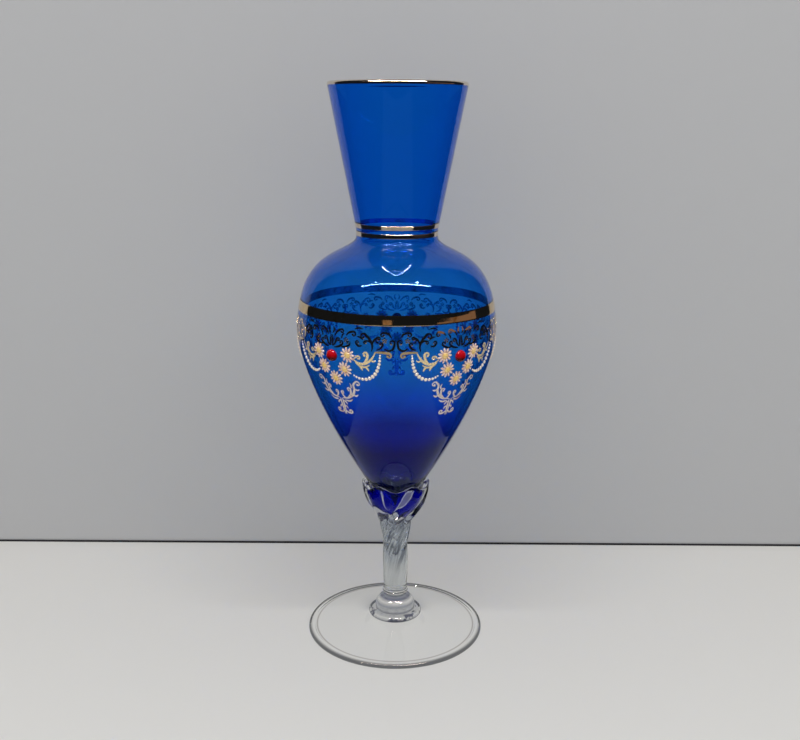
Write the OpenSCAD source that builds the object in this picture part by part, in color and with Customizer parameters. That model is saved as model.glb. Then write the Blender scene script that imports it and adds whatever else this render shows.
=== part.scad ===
// Amphora vase of blown cobalt glass on a clear twisted stem, with fired gold lines,
// set cabochons, raised enamel daisies and swags of enamel pearls.
// Millimetres, +Z up, the front faces -Y, and positive angles turn from the front towards +X.
// The origin is the centre of the plane that the foot rests on.

/* [Foot] */
// Radius of the clear disc foot
foot_r = 42.1; // [34:0.1:50]
// Thickness of its rolled edge
foot_edge_t = 2.2; // [1.6:0.1:3]
// Width of the rolled edge, as far as the shallow groove inside it
foot_lip_w = 3.2; // [2.4:0.1:5]
// Depth of that groove below the top of the rolled edge
foot_groove = 0.4; // [0.1:0.05:0.8]
// Height of the foot's middle, where the knop stands
foot_rise = 7; // [5.5:0.1:9]
// Width of the flat ring that the vase rests on, from the edge inwards
foot_rest_w = 8; // [5:0.5:12]
// Height of the hollow under the foot's middle
foot_kick = 3.2; // [1:0.1:4]

/* [Knop] */
// Height of the knop between the foot and the stem
knop_h = 12.8; // [10:0.1:16]
// Radius of its lower disc
knop_disc_r = 12.7; // [10.5:0.1:15]
// Thickness of its lower disc
knop_disc_t = 2.8; // [2:0.1:3.6]
// Radius of the ball above the disc
knop_r = 9.3; // [8:0.1:10.4]
// Radius of the drawn-in neck above the ball
knop_neck_r = 5.4; // [4.6:0.1:5.6]
// Radius of the small bead under the stem
knop_bead_r = 6.1; // [6:0.1:7]
// Thickness of that bead
knop_bead_t = 1.6; // [1.2:0.1:2]

/* [Stem] */
// Length of the twisted stem, from the knop to the collar
stem_h = 35.2; // [26:0.1:46]
// Radius of its plain lower half, over the ribs
stem_r = 5.9; // [5:0.1:6]
// Draw-in at its foot, just above the knop
stem_tuck = 0.3; // [0:0.05:0.5]
// Radius of its top, over the ribs
stem_top_r = 7.9; // [7:0.1:9]
// Depth of the hollows between the ribs at the top
flute_depth = 0.9; // [0.3:0.05:1.3]
// Depth of the hollows between the ribs at the bottom
flute_end_depth = 0.2; // [0.1:0.05:0.5]
// Turn of the ribs over the stem, in degrees
stem_twist = 95; // [30:1:160]
// Number of ribs, which is also the number of lobes of the collar
ribs = 6; // [5:1:8]

/* [Frilled collar] */
// Height of the collar from the stem to the tips of its lobes
collar_h = 20.6; // [17:0.1:24]
// Clearance between the bowl and the inside of the edge, at its highest lobe
frill_gap = 0.5; // [0.3:0.05:1.5]
// Thickness of the pincered edge
frill_t = 1.3; // [0.8:0.1:1.6]
// Drop of the edge between two lobes
frill_wave = 2.8; // [1:0.1:4]
// Draw-in of the edge between two lobes
frill_depth = 1; // [0.4:0.1:1.4]
// Rise of the edge at the front, and its fall at the back, from working by hand
frill_lean = 1.1; // [0:0.1:2]
// Turn of the ribs over the collar, in degrees
collar_twist = 40; // [0:1:60]
// Solid glass under the bowl, between the stem's top and the bowl's bottom
collar_floor = 6; // [4:0.1:8]
// Height above the bowl's bottom to which the collar is fused to the bowl
seat_h = 8; // [5:0.1:9]
// Gap left between the collar and the bowl, which are fused in the real vase
seat_gap = 0.05; // [0.04:0.01:0.1]

/* [Bowl] */
// Height of the bowl, from its bottom to the waist
bowl_h = 131; // [115:1:150]
// Largest radius of the bowl
belly_r = 45.8; // [40:0.1:52]
// Radius of the bowl where its rounded bottom begins
bottom_r = 8; // [7:0.1:9]
// Height of that rounded bottom
bottom_h = 6.4; // [5.5:0.1:7.5]
// Thickness of the blown wall
wall_t = 2.2; // [1.6:0.1:2.8]
// Thickness of the glass at the bottom of the bowl
base_t = 5; // [3.5:0.1:6]
// Slope of the shoulder where it leaves the waist, in degrees below level
shoulder_slope = 45; // [30:1:55]
// Radius of the fillet between the waist and the shoulder
shoulder_fillet = 3; // [2:0.1:4.5]
// Slope of the lower bowl where it enters the collar, in degrees above level
bottom_slope = 55; // [50:1:60]

/* [Neck] */
// Radius of the waist under the neck
waist_r = 18.6; // [16:0.1:21]
// Height of the straight waist
waist_h = 3; // [2.8:0.1:5]
// Height of the cone-shaped neck, from the waist to the top of the gilded lip
neck_h = 65; // [50:1:80]
// Radius of the lip
rim_r = 31.2; // [27:0.1:36]

/* [Gilding] */
// Thickness of the fired gold, drawn thicker than real gold
gild_t = 0.12; // [0.08:0.01:0.2]
// Height of the gold on the lip
rim_gild_h = 1.8; // [1.6:0.1:3]
// Width of each gold line at the waist
line_w = 2; // [1.2:0.1:2.2]
// Distance from the top of the waist up to the middle of the upper line
upper_line_up = 2.2; // [1.8:0.1:4]
// Distance from the top of the waist down to the middle of the lower line
lower_line_down = 1.5; // [1.2:0.1:1.6]
// Width of the gold band round the shoulder
band_w = 4.4; // [3:0.1:6]
// Height of the middle of that band above the belly
band_up = 13.2; // [9:0.1:16]

/* [Cabochons and enamel] */
// Number of medallions round the bowl
medallions = 5; // [4:1:5]
// Angle between the two medallions at the front, in degrees
front_gap = 74; // [70:1:80]
// Distance of the cabochons below the widest place of the bowl
jewel_drop = 3.4; // [2:0.1:8]
// Radius of a cabochon at its seat
jewel_r = 2.45; // [2:0.05:3]
// Height of a cabochon
jewel_h = 2; // [1.4:0.05:2]
// Gap under the flat seat of a cabochon or of enamel
enamel_gap = 0.04; // [0.03:0.01:0.08]
// Radius of a daisy over its petals
daisy_r = 3.1; // [2.6:0.05:3.2]
// Number of petals of a daisy
petals = 11; // [9:1:13]
// Gap between two daisies that lie side by side
daisy_gap = 0.1; // [0.05:0.05:0.3]
// Thickness of a daisy's petals
petal_t = 0.45; // [0.3:0.05:0.7]
// Radius of a daisy's raised middle
eye_r = 1.35; // [1:0.05:1.5]
// Height of a daisy's middle above its petals
eye_h = 0.6; // [0.4:0.05:0.9]
// Distance from the cabochon to the daisies beside it
side_reach = 8; // [7:0.1:9]
// Distance from the cabochon down to the lowest daisy
low_reach = 10.5; // [9.8:0.1:12]
// Width of a swag, from the cabochon to its far end
swag_w = 22.8; // [21:0.1:25]
// Number of pearls of a swag
pearls = 14; // [10:1:16]
// Gap between two pearls
pearl_gap = 0.15; // [0.1:0.05:0.3]

/* [Hidden] */
$fn = 96;

// Heights of the joints, from the foot up
stem_z = foot_rise + knop_h;
collar_z = stem_z + stem_h;
bowl_z = collar_z + collar_floor;
waist_z = bowl_z + bowl_h;
neck_z = waist_z + waist_h;
rim_z = neck_z + neck_h;

// Height of the widest place of the bowl, as a share of the bowl
belly_share = 0.667;
belly_z = bowl_z + bowl_h * belly_share;
jewel_z = belly_z - jewel_drop;
band_z = belly_z + band_up;

// Length of each handle of the bowl's curves, as a share of the width or the height it crosses
shoulder_out_share = 0.353;
shoulder_down_share = 0.826;
lower_down_share = 0.071;
lower_out_share = 0.615;

// Handles of the foot's upper and lower curves, as shares of the width they cross
foot_top_shares = [0.35, 0.82];
foot_under_shares = [0.24, 0.59];

// Handles of the knop's ball, and where its neck begins, as shares of the height above the disc
ball_low_share = 0.3;
ball_high_share = 0.5;
neck_share = 0.74;
// How far the ball swells past its radius at the disc, as a share of that radius
ball_swell_share = 1.06;

// Handles of the collar's side, as shares of its radius and of its height
collar_radius_shares = [0.6, 1.04];
collar_height_shares = [0.25, 0.475];

// Handles of a swag, as shares of its width
swag_low_shares = [0.2, -0.16];
swag_high_shares = [0.95, -0.4];
swag_end_share = 0.1;
// Radius of the first and last pearl, as a share of the largest
pearl_end_share = 0.5;
// Height of a pearl, as a share of its radius
pearl_height_share = 0.8;
// Height of the side daisies' middles above the cabochon, in degrees round it
daisy_lift = 7;

// Steps of the curves and of the twisted pieces
curve_steps = 14;
turn_steps = 72;
stem_steps = 26;
collar_steps = 18;
cup_steps = 3;
swag_steps = 24;

// Points on curves
function along(a, b, t) = a + (b - a) * t;
function cubic(p, t) =
    pow(1 - t, 3) * p[0] + 3 * pow(1 - t, 2) * t * p[1] + 3 * (1 - t) * t * t * p[2] + pow(t, 3) * p[3];
function curve(p, steps = curve_steps) = [for (i = [1:steps]) cubic(p, i / steps)];
function polar(r, a) = r * [cos(a), sin(a)];

// Unit vector at a point of a path, square to it, to the right of its run
function side(path, i) =
    let (d = path[min(i + 1, len(path) - 1)] - path[max(i - 1, 0)]) [d[1], -d[0]] / norm(d);
function reversed(path) = [for (i = [len(path) - 1:-1:0]) path[i]];

// The lip: a half circle across the wall, square to the cone of the neck
lip_r = wall_t / 2;
neck_lean = atan((rim_r - waist_r) / neck_h);
lip_c = [rim_r - lip_r, rim_z - gild_t - lip_r];
function lip_arc(r) = [for (i = [0:curve_steps]) lip_c + polar(r, 180 * i / curve_steps - neck_lean)];

// The outer side of the vessel from the lip down to the middle of its bottom
fillet_c = [waist_r + shoulder_fillet, waist_z];
fillet_arc = [
    for (i = [1:curve_steps / 2])
        fillet_c - polar(shoulder_fillet, 2 * i / curve_steps * (90 - shoulder_slope))
];
shoulder_start = fillet_arc[len(fillet_arc) - 1];
belly = [belly_r, belly_z];
lower_end = [bottom_r, bowl_z + bottom_h];
shoulder_curve = curve([
    shoulder_start,
    shoulder_start + polar((belly_r - waist_r) * shoulder_out_share, -shoulder_slope),
    belly + [0, (waist_z - belly_z) * shoulder_down_share],
    belly
]);
lower_curve = curve([
    belly,
    belly - [0, (belly_z - bowl_z) * lower_down_share],
    lower_end + polar((belly_z - bowl_z) * lower_out_share, bottom_slope),
    lower_end
]);
bottom_corner = [bottom_r - bottom_h / tan(bottom_slope), bowl_z];
bottom_curve = curve([
    lower_end,
    along(lower_end, bottom_corner, 2 / 3),
    along([0, bowl_z], bottom_corner, 2 / 3),
    [0, bowl_z]
], curve_steps / 2);
outer_side = concat(
    [lip_arc(lip_r)[0], [waist_r, neck_z], [waist_r, waist_z]],
    fillet_arc, shoulder_curve, lower_curve, bottom_curve
);

// The inner side: the wall is even, and thickens towards the bottom over the collar's height
function wall_at(z) = along(base_t, wall_t, sin(90 * min(1, (z - bowl_z) / collar_h)));
inner_side = concat(
    [
        for (i = [0:len(outer_side) - 2])
            let (p = outer_side[i] + wall_at(outer_side[i][1]) * side(outer_side, i))
                if (p[0] > lip_r) p
    ],
    [[0, bowl_z + base_t]]
);

// Radius of the vessel at a height, and the stretch of its outer side between two heights
radius_table = [for (p = reversed(outer_side)) [p[1], p[0]]];
function radius_at(z) = lookup(z, radius_table);
function stretch(high, low) = concat(
    [[radius_at(high), high]],
    [for (p = outer_side) if (p[1] < high && p[1] > low) p],
    [[radius_at(low), low]]
);
function coat(path, t) = concat(path, [for (i = [len(path) - 1:-1:0]) path[i] - t * side(path, i)]);

module vessel() {
    color("#0a3fb4")
        rotate_extrude()
            polygon(concat(reversed(lip_arc(lip_r)), [for (i = [1:len(outer_side) - 1]) outer_side[i]],
                reversed([for (i = [1:len(inner_side) - 1]) inner_side[i]])));
}

module gold_ring(high, low) {
    color("#d4a84b")
        rotate_extrude()
            polygon(coat(stretch(high, low), gild_t));
}

module rim_gilding() {
    color("#d4a84b")
        rotate_extrude()
            polygon(concat(
                [[radius_at(rim_z - rim_gild_h), rim_z - rim_gild_h]],
                lip_arc(lip_r),
                reversed(lip_arc(lip_r + gild_t)),
                [[radius_at(rim_z - rim_gild_h), rim_z - rim_gild_h] + polar(gild_t, -neck_lean)]
            ));
}

module neck_line_upper() {
    gold_ring(neck_z + upper_line_up + line_w / 2, neck_z + upper_line_up - line_w / 2);
}

module neck_line_lower() {
    gold_ring(neck_z - lower_line_down + line_w / 2, neck_z - lower_line_down - line_w / 2);
}

module shoulder_band() {
    gold_ring(band_z + band_w / 2, band_z - band_w / 2);
}

// The foot: a spun disc with a rolled edge, hollow underneath
foot_edge_r = foot_edge_t / 2;
foot_rest_r = foot_r - foot_rest_w;
groove = [foot_r - foot_lip_w, foot_edge_t - foot_groove];
foot_edge = [
    for (i = [0:curve_steps])
        [foot_r - foot_edge_r, foot_edge_r] + polar(foot_edge_r, 180 * i / curve_steps - 90)
];
foot_span = groove[0] - knop_disc_r;
foot_top = curve([
    groove,
    groove - [foot_span * foot_top_shares[0], -foot_groove],
    [groove[0] - foot_span * foot_top_shares[1], along(groove[1], foot_rise, foot_top_shares[0])],
    [knop_disc_r, foot_rise]
]);
foot_under = curve([
    [0, foot_kick],
    [foot_rest_r * (1 - foot_under_shares[1]), foot_kick],
    [foot_rest_r * (1 - foot_under_shares[0]), 0],
    [foot_rest_r, 0]
]);

module foot() {
    color("#dfe6e8")
        rotate_extrude()
            polygon(concat(foot_under, foot_edge, [groove], foot_top, [[0, foot_rise], [0, foot_kick]]));
}

// The knop: a disc, a ball, a drawn-in neck and a bead, turned in one profile
ball_z = foot_rise + knop_disc_t;
ball_h = knop_h - knop_disc_t;
disc_edge_r = knop_disc_t / 2;
bead_edge_r = knop_bead_t / 2;
function half_round(middle, r) =
    [for (i = [0:curve_steps]) middle + polar(r, 180 * i / curve_steps - 90)];
knop_side = concat(
    half_round([knop_disc_r - disc_edge_r, foot_rise + disc_edge_r], disc_edge_r),
    [[knop_r, ball_z]],
    curve([
        [knop_r, ball_z],
        [knop_r * ball_swell_share, ball_z + ball_h * ball_low_share],
        [knop_r, ball_z + ball_h * ball_high_share],
        [knop_neck_r, ball_z + ball_h * neck_share]
    ]),
    half_round([knop_bead_r - bead_edge_r, stem_z - bead_edge_r], bead_edge_r)
);

module knop() {
    color("#e4eaec")
        rotate_extrude()
            polygon(concat([[0, foot_rise]], knop_side, [[0, stem_z]]));
}

// A solid skinned over rings that all turn the same way and rise from its flat bottom;
// the last ring is closed flat too
module skin(rings) {
    n = len(rings[0]);
    last = len(rings) - 1;
    polyhedron(
        points = [for (ring = rings) each ring],
        faces = concat(
            [[for (i = [0:n - 1]) i]],
            [
                for (j = [0:last - 1])
                    for (i = [0:n - 1])
                        let (a = j * n + i, b = j * n + (i + 1) % n)
                            each [[a, a + n, b + n], [a, b + n, b]]
            ],
            [[for (i = [n - 1:-1:0]) last * n + i]]
        )
    );
}

// 1 on a rib and 0 half way between two, for a turn from the front
function rib(a) = (1 - cos(ribs * a)) / 2;
function around(r, a, z) = [r * sin(a), -r * cos(a), z];
turns = [for (i = [0:turn_steps - 1]) 360 * i / turn_steps];

// The stem: its ribs wind quickly under the collar and run nearly straight above the knop
function stem_ring(h) =
    let (
        over_ribs = stem_r + (stem_top_r - stem_r) * pow(h, 4) - stem_tuck * pow(1 - h, 8),
        depth = along(flute_end_depth, flute_depth, h * h),
        turned = -collar_twist - stem_twist * (1 - h * h)
    )
    [for (a = turns) around(over_ribs - depth * (1 - rib(a - turned)), a, stem_z + stem_h * h)];

module twisted_stem() {
    color("#d9e1e4")
        skin([for (i = [0:stem_steps]) stem_ring(i / stem_steps)]);
}

// The collar: the ribs open into lobes that cup the bowl, and its edge is pincered into a wave
seat_z = bowl_z + seat_h;
collar_r = radius_at(collar_z + collar_h + frill_lean) + frill_gap + frill_t;
function lobe_top(a) = collar_h - frill_wave * (1 - rib(a)) + frill_lean * cos(a);
function lobe_r(u, a) =
    cubic([stem_top_r, collar_r * collar_radius_shares[0], collar_r * collar_radius_shares[1], collar_r], u)
        - along(flute_depth, frill_depth, u) * (1 - rib(a + collar_twist * pow(1 - u, 2)));
function lobe_z(u, a) =
    let (top = lobe_top(a) - frill_t / 2)
        collar_z + cubic([0, top * collar_height_shares[0], top * collar_height_shares[1], top], u);
function edge_in(a) = lobe_r(1, a) - frill_t;
function edge_gap(a) = edge_in(a) - radius_at(lobe_z(1, a));
function cup_ring(u) =
    [
        for (a = turns)
            let (z = along(lobe_z(1, a), seat_z, u))
                around(radius_at(z) + along(edge_gap(a), seat_gap, u), a, z)
    ];
seat_side = [
    for (i = [0:len(outer_side) - 2])
        if (outer_side[i][1] < seat_z) outer_side[i] - seat_gap * side(outer_side, i)
];
collar_rings = concat(
    [for (i = [0:collar_steps]) [for (a = turns) around(lobe_r(i / collar_steps, a), a, lobe_z(i / collar_steps, a))]],
    [[for (a = turns) around(lobe_r(1, a) - frill_t / 2, a, collar_z + lobe_top(a))]],
    [for (i = [0:cup_steps]) cup_ring(i / cup_steps)],
    [for (p = seat_side) [for (a = turns) around(p[0], a, p[1])]],
    [[for (a = turns) around(seat_gap, a, bowl_z - seat_gap)]]
);

module frilled_collar() {
    color("#dbe5ee")
        skin(collar_rings);
}

// A place on the bowl: +Z of what stands there points out of the glass, and +Y up the bowl
function medallion_angle(m) = front_gap / 2 + (m - 1) * (360 - front_gap) / (medallions - 1);
function tilt_at(z) = atan((radius_at(z - wall_t) - radius_at(z + wall_t)) / (2 * wall_t));
module on_bowl(m, x, y) {
    z = jewel_z + y;
    rotate([0, 0, medallion_angle(m) + x / radius_at(z) * 180 / PI])
        translate([0, -radius_at(z), z])
            rotate([90 - tilt_at(z), 0, 0])
                translate([0, 0, enamel_gap])
                    children();
}

// A cap cut from a ball: r is its radius at the seat and h its height
module cap(r, h) {
    ball_r = (r * r + h * h) / (2 * h);
    intersection() {
        translate([0, 0, h - ball_r])
            sphere(ball_r);
        cylinder(h = h, r = ball_r);
    }
}

module jewel(m) {
    color("#c4121f")
        on_bowl(m, 0, 0)
            cap(jewel_r, jewel_h);
}

// A daisy: round petals on a disc, and a raised middle
module daisy() {
    petal_r = (daisy_r - eye_r) / 2;
    linear_extrude(petal_t) {
        circle(daisy_r - petal_r);
        for (k = [1:petals])
            rotate(360 * k / petals)
                translate([daisy_r - petal_r, 0])
                    circle(petal_r);
    }
    translate([0, 0, petal_t])
        cap(eye_r, eye_h);
}

// Five daisies hang round each cabochon: two at each side and one below
daisy_step = 2 * asin((daisy_r + daisy_gap / 2) / side_reach);
function low_daisy(hand) = [hand * side_reach * cos(daisy_lift - daisy_step), side_reach * sin(daisy_lift - daisy_step)];

module daisies(m) {
    color("#f2dcae") {
        for (hand = [-1, 1]) {
            on_bowl(m, hand * side_reach * cos(daisy_lift), side_reach * sin(daisy_lift))
                daisy();
            on_bowl(m, low_daisy(hand)[0], low_daisy(hand)[1])
                daisy();
        }
        on_bowl(m, 0, -low_reach)
            daisy();
    }
}

// A swag: pearls strung along a curve, each touching the next but for the gap
swag_start = low_daisy(1) + polar(daisy_r + 2 * pearl_gap + swag_w * swag_end_share / 4, -30);
swag = curve([
    swag_start,
    swag_start + swag_w * swag_low_shares,
    swag_w * swag_high_shares,
    [swag_w, swag_w * swag_end_share]
], swag_steps);
function total(list, last) = last < 0 ? 0 : list[last] + total(list, last - 1);
swag_pieces = [for (i = [1:len(swag) - 1]) norm(swag[i] - swag[i - 1])];
swag_run = [for (i = [0:len(swag) - 1]) total(swag_pieces, i - 1)];
swag_x = [for (i = [0:len(swag) - 1]) [swag_run[i], swag[i][0]]];
swag_y = [for (i = [0:len(swag) - 1]) [swag_run[i], swag[i][1]]];
pearl_weights = [for (k = [0:pearls - 1]) along(pearl_end_share, 1, sin(180 * k / (pearls - 1)))];
pearl_unit = (swag_run[len(swag) - 1] - (pearls - 1) * pearl_gap) / 2 / total(pearl_weights, pearls - 1);
function pearl_place(k) =
    2 * pearl_unit * total(pearl_weights, k - 1) + pearl_unit * pearl_weights[k] + k * pearl_gap;

module pearl_swags(m) {
    color("#f6ead0")
        for (hand = [-1, 1])
            for (k = [0:pearls - 1])
                on_bowl(m, hand * lookup(pearl_place(k), swag_x), lookup(pearl_place(k), swag_y))
                    cap(pearl_unit * pearl_weights[k], pearl_unit * pearl_weights[k] * pearl_height_share);
}

foot();
knop();
twisted_stem();
frilled_collar();
vessel();
rim_gilding();
neck_line_upper();
neck_line_lower();
shoulder_band();
for (m = [1:medallions]) jewel(m);
for (m = [1:medallions]) daisies(m);
for (m = [1:medallions]) pearl_swags(m);
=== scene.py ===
"""A pedestal vase of cobalt glass on a clear twisted stem, with fired gold, raised enamel and ruby cabochons.

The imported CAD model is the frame. Each glass, gold and enamel piece is a smooth surface on the curves of its
CAD node and stands for that node; the gilt scrollwork is modelled here alone. Lengths are in metres, heights
are above the table, and an angle round the vase goes from the front, -Y, towards +X.
"""

import math

import bpy
import numpy as np
from bpy.props import FloatProperty, FloatVectorProperty, IntProperty, PointerProperty
from bpy.types import Operator, Panel, PropertyGroup
from mathutils import Matrix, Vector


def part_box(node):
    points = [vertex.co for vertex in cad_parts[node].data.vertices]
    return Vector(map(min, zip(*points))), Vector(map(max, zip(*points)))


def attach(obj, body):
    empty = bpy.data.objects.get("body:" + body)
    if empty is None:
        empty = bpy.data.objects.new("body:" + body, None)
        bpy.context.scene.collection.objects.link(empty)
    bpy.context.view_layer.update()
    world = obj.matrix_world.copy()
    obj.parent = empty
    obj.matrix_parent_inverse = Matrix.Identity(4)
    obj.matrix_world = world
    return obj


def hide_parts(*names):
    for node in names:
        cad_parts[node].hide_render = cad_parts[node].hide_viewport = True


bl_info = {
    "name": "Gilt Glass Vase",
    "version": (1, 0, 0),
    "blender": (4, 5, 0),
    "location": "3D View > Sidebar > Vase",
    "description": "Builds the glass, gold and enamel of a pedestal vase round its CAD frame",
    "category": "Add Mesh",
}

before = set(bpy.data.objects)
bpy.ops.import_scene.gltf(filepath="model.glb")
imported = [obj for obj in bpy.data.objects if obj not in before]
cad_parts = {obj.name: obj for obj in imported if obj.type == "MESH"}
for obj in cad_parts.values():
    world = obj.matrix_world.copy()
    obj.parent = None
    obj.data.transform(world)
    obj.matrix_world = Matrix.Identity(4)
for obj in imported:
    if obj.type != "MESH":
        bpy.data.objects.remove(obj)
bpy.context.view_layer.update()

MM = 0.001
COLUMNS = 192
MEDALLIONS = sum(name.startswith("jewel_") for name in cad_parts)
# Where the widest place of the bowl lies in its height, and how far the handles of its Bezier curves reach
BELLY_AT = 0.667
SHOULDER_HANDLES = 0.353, 0.826
LOWER_HANDLES = 0.071, 0.615
# How far gold and enamel are sunk into the glass, so that no gap shows
GOLD_SUNK, DOME_SUNK = 0.02 * MM, 0.03 * MM
# Gap where clear glass is fused to the cobalt glass
TIGHT = 0.05 * MM
# Half the width of the wall, and its height
WALL_SIDE, WALL_TOP = 0.6, 0.6
# How far off the unlit room and the lit wood in it are, and the height that they lie round
ROOM, NEARER, ROOM_MIDDLE = 1.5, 1.4, 0.1
# A Mix node that multiplies two colours, and its sockets
MULTIPLY = {"data_type": "RGBA", "blend_type": "MULTIPLY"}
MIX_SHARE, MIX_FIRST, MIX_SECOND, MIXED = 0, 6, 7, 2
# Glass with a fire-polished surface
POLISHED_GLASS = {"Transmission Weight": 1.0, "IOR": 1.5, "Roughness": 0.0}


def evenly_round(count):
    """Angles spread evenly over a full turn."""
    return np.arange(count) / count * math.tau


ANGLES = evenly_round(COLUMNS)


def node_bottom(node):
    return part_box(node)[0].z


def node_top(node):
    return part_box(node)[1].z


def node_radius(node):
    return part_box(node)[1].x


def linear(colour):
    """An sRGB hex colour as linear red, green, blue and alpha."""
    srgb = np.array([int(colour[i : i + 2], 16) for i in (0, 2, 4)]) / 255
    rgb = np.where(srgb <= 0.04045, srgb / 12.92, ((srgb + 0.055) / 1.055) ** 2.4)
    return (*rgb.tolist(), 1.0)


WHITE = linear("FFFFFF")


# Kinds of property, by their description and default. Their labels are made from their names.


def length(description, metres):
    return FloatProperty(description=description, default=metres, unit="LENGTH", precision=5)


def rotation(description, degrees):
    return FloatProperty(description=description, default=math.radians(degrees), unit="ROTATION")


def number(description, default):
    return FloatProperty(description=description, default=default, precision=3)


def whole(description, default, least):
    return IntProperty(description=description, default=default, min=least)


def colour(description, srgb):
    limits = {"size": 4, "subtype": "COLOR", "min": 0, "max": 1}
    return FloatVectorProperty(description=description, default=linear(srgb), **limits)


# Sizes and colours


class VesselSizes(PropertyGroup):
    """The profile of the blown vessel."""

    rim_radius: length("Outside of the mouth", 31.2 * MM)
    waist_radius: length("Outside of the neck where it meets the bowl", 18.6 * MM)
    belly_radius: length("Widest place of the bowl", node_radius("vessel"))
    bottom_radius: length("Where the bowl turns in to its rounded bottom", 8 * MM)
    bottom_rise: length("Height of the rounded bottom", 6.4 * MM)
    foot_of_bowl: length("Height of the lowest place of the bowl", node_bottom("vessel"))
    bowl_height: length("From the bottom of the bowl to the waist", 131 * MM)
    waist_height: length("Upright part between the bowl and the neck", 3 * MM)
    rim: length("Height of the gilded rim", node_top("rim_gilding"))
    fillet: length("Radius of the hollow curve at the waist", 3 * MM)
    wall: length("Thickness of the glass", 2.2 * MM)
    base: length("Thickness of the glass at the bottom of the bowl", 5 * MM)
    gold: length("How far the gold stands proud of the glass", 0.12 * MM)
    rim_run: length("How far the rim's gold runs down below the lip", 0.3 * MM)
    shoulder_slope: rotation("Slope where the shoulder starts", 45)
    bottom_slope: rotation("Slope where the rounded bottom starts", 55)


class BaseSizes(PropertyGroup):
    """The foot, knop, stem and collar of clear glass."""

    foot_radius: length("Outside of the foot", node_radius("foot"))
    foot_edge: length("Thickness of the foot at its edge", 2.2 * MM)
    foot_lip: length("Width of the rolled edge", 3.2 * MM)
    foot_groove: length("Depth of the groove inside the rolled edge", 0.4 * MM)
    foot_rise: length("Height of the foot under the knop", node_top("foot"))
    foot_rest: length("Width of the ring that the vase stands on", 8 * MM)
    foot_kick: length("Height of the hollow under the foot", 3.2 * MM)
    disc_radius: length("Disc under the knop", node_radius("knop"))
    disc: length("Thickness of the disc", 2.8 * MM)
    ball_radius: length("Ball of the knop where it leaves the disc", 9.3 * MM)
    knop_neck: length("Drawn-in neck above the ball", 5.4 * MM)
    bead_radius: length("Bead at the foot of the stem", 6.1 * MM)
    bead: length("Thickness of the bead", 1.6 * MM)
    stem_radius: length("Stem over its ribs", 5.9 * MM)
    stem_tuck: length("How far the stem draws in above the bead", 0.3 * MM)
    stem_top: length("Stem where it opens into the collar", 7.9 * MM)
    flute: length("Depth of the flutes under the collar", 0.9 * MM)
    flute_end: length("Depth of the flutes above the knop", 0.2 * MM)
    stem_twist: rotation("Turn of the ribs over the stem", 95)
    draw_line: length("Depth of the fine lines between the ribs, under the collar", 0.3 * MM)
    ribs: whole("Ribs of the stem, and lobes of the collar", 6, 3)
    frill_edge: length("Thickness of the collar's edge", 1.3 * MM)
    frill_gap: length("Gap between the collar's edge and the bowl", 0.5 * MM)
    frill_wave: length("How far the edge dips between two lobes", 2.8 * MM)
    frill_depth: length("Depth of the folds between the lobes", 1 * MM)
    frill_lean: length("How much higher the front of the collar stands", 1.1 * MM)
    frill_free: length("How far the edge stands free of the bowl", 1.2 * MM)
    crease: length("Depth of the pincered crease between two folds", 1.3 * MM)
    collar_height: length("From the stem to the lobes", 20.6 * MM)
    collar_twist: rotation("Turn of the folds over the collar", 40)
    seat: length("Height of the bowl that the collar holds tightly", 8 * MM)


class OrnamentSizes(PropertyGroup):
    """The cabochons, daisies and pearls of one medallion."""

    front_gap: rotation("Turn between the two front cabochons", 74)
    jewel_drop: length("How far the cabochons lie below the widest place", 3.4 * MM)
    jewel_radius: length("Radius of a cabochon", 2.6 * MM)
    jewel_height: length("Height of a cabochon", 2.4 * MM)
    daisy_radius: length("Daisy over its petals", 3.55 * MM)
    daisy_gap: length("Gap between two daisies", -0.1 * MM)
    petals: whole("Petals of a daisy", 11, 7)
    petal_height: length("Height of a petal", 0.5 * MM)
    eye_radius: length("Raised middle of a daisy", 1.45 * MM)
    eye_height: length("Height of a daisy's middle", 1 * MM)
    side_reach: length("From the cabochon to the side daisies", 8 * MM)
    low_reach: length("From the cabochon to the lowest daisy", 10.5 * MM)
    daisy_lift: rotation("Height of the side daisies, as a turn", 7)
    swag_width: length("From the cabochon to the end of a swag", 22.8 * MM)
    pearls: whole("Pearls of a swag", 14, 6)
    pearl_gap: length("Gap between two pearls", 0.15 * MM)


class ScrollSizes(PropertyGroup):
    """The brushed gold scrollwork of one medallion."""

    relief: length("How far a stroke of gold stands proud of the glass", 0.06 * MM)
    sunk: length("How far it reaches into the glass, so that no gap shows", 0.03 * MM)
    flat_level: number("Level share of their width", 0.96)
    raised_level: number("Level share of their width", 0.6)
    curl_turn: rotation("Turn of the curl at the end of a stroke", 280)
    flower_radius: length("Small gold flowers of the frieze", 1.25 * MM)
    flower_petals: whole("Petals of a gold flower", 5, 3)


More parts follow.
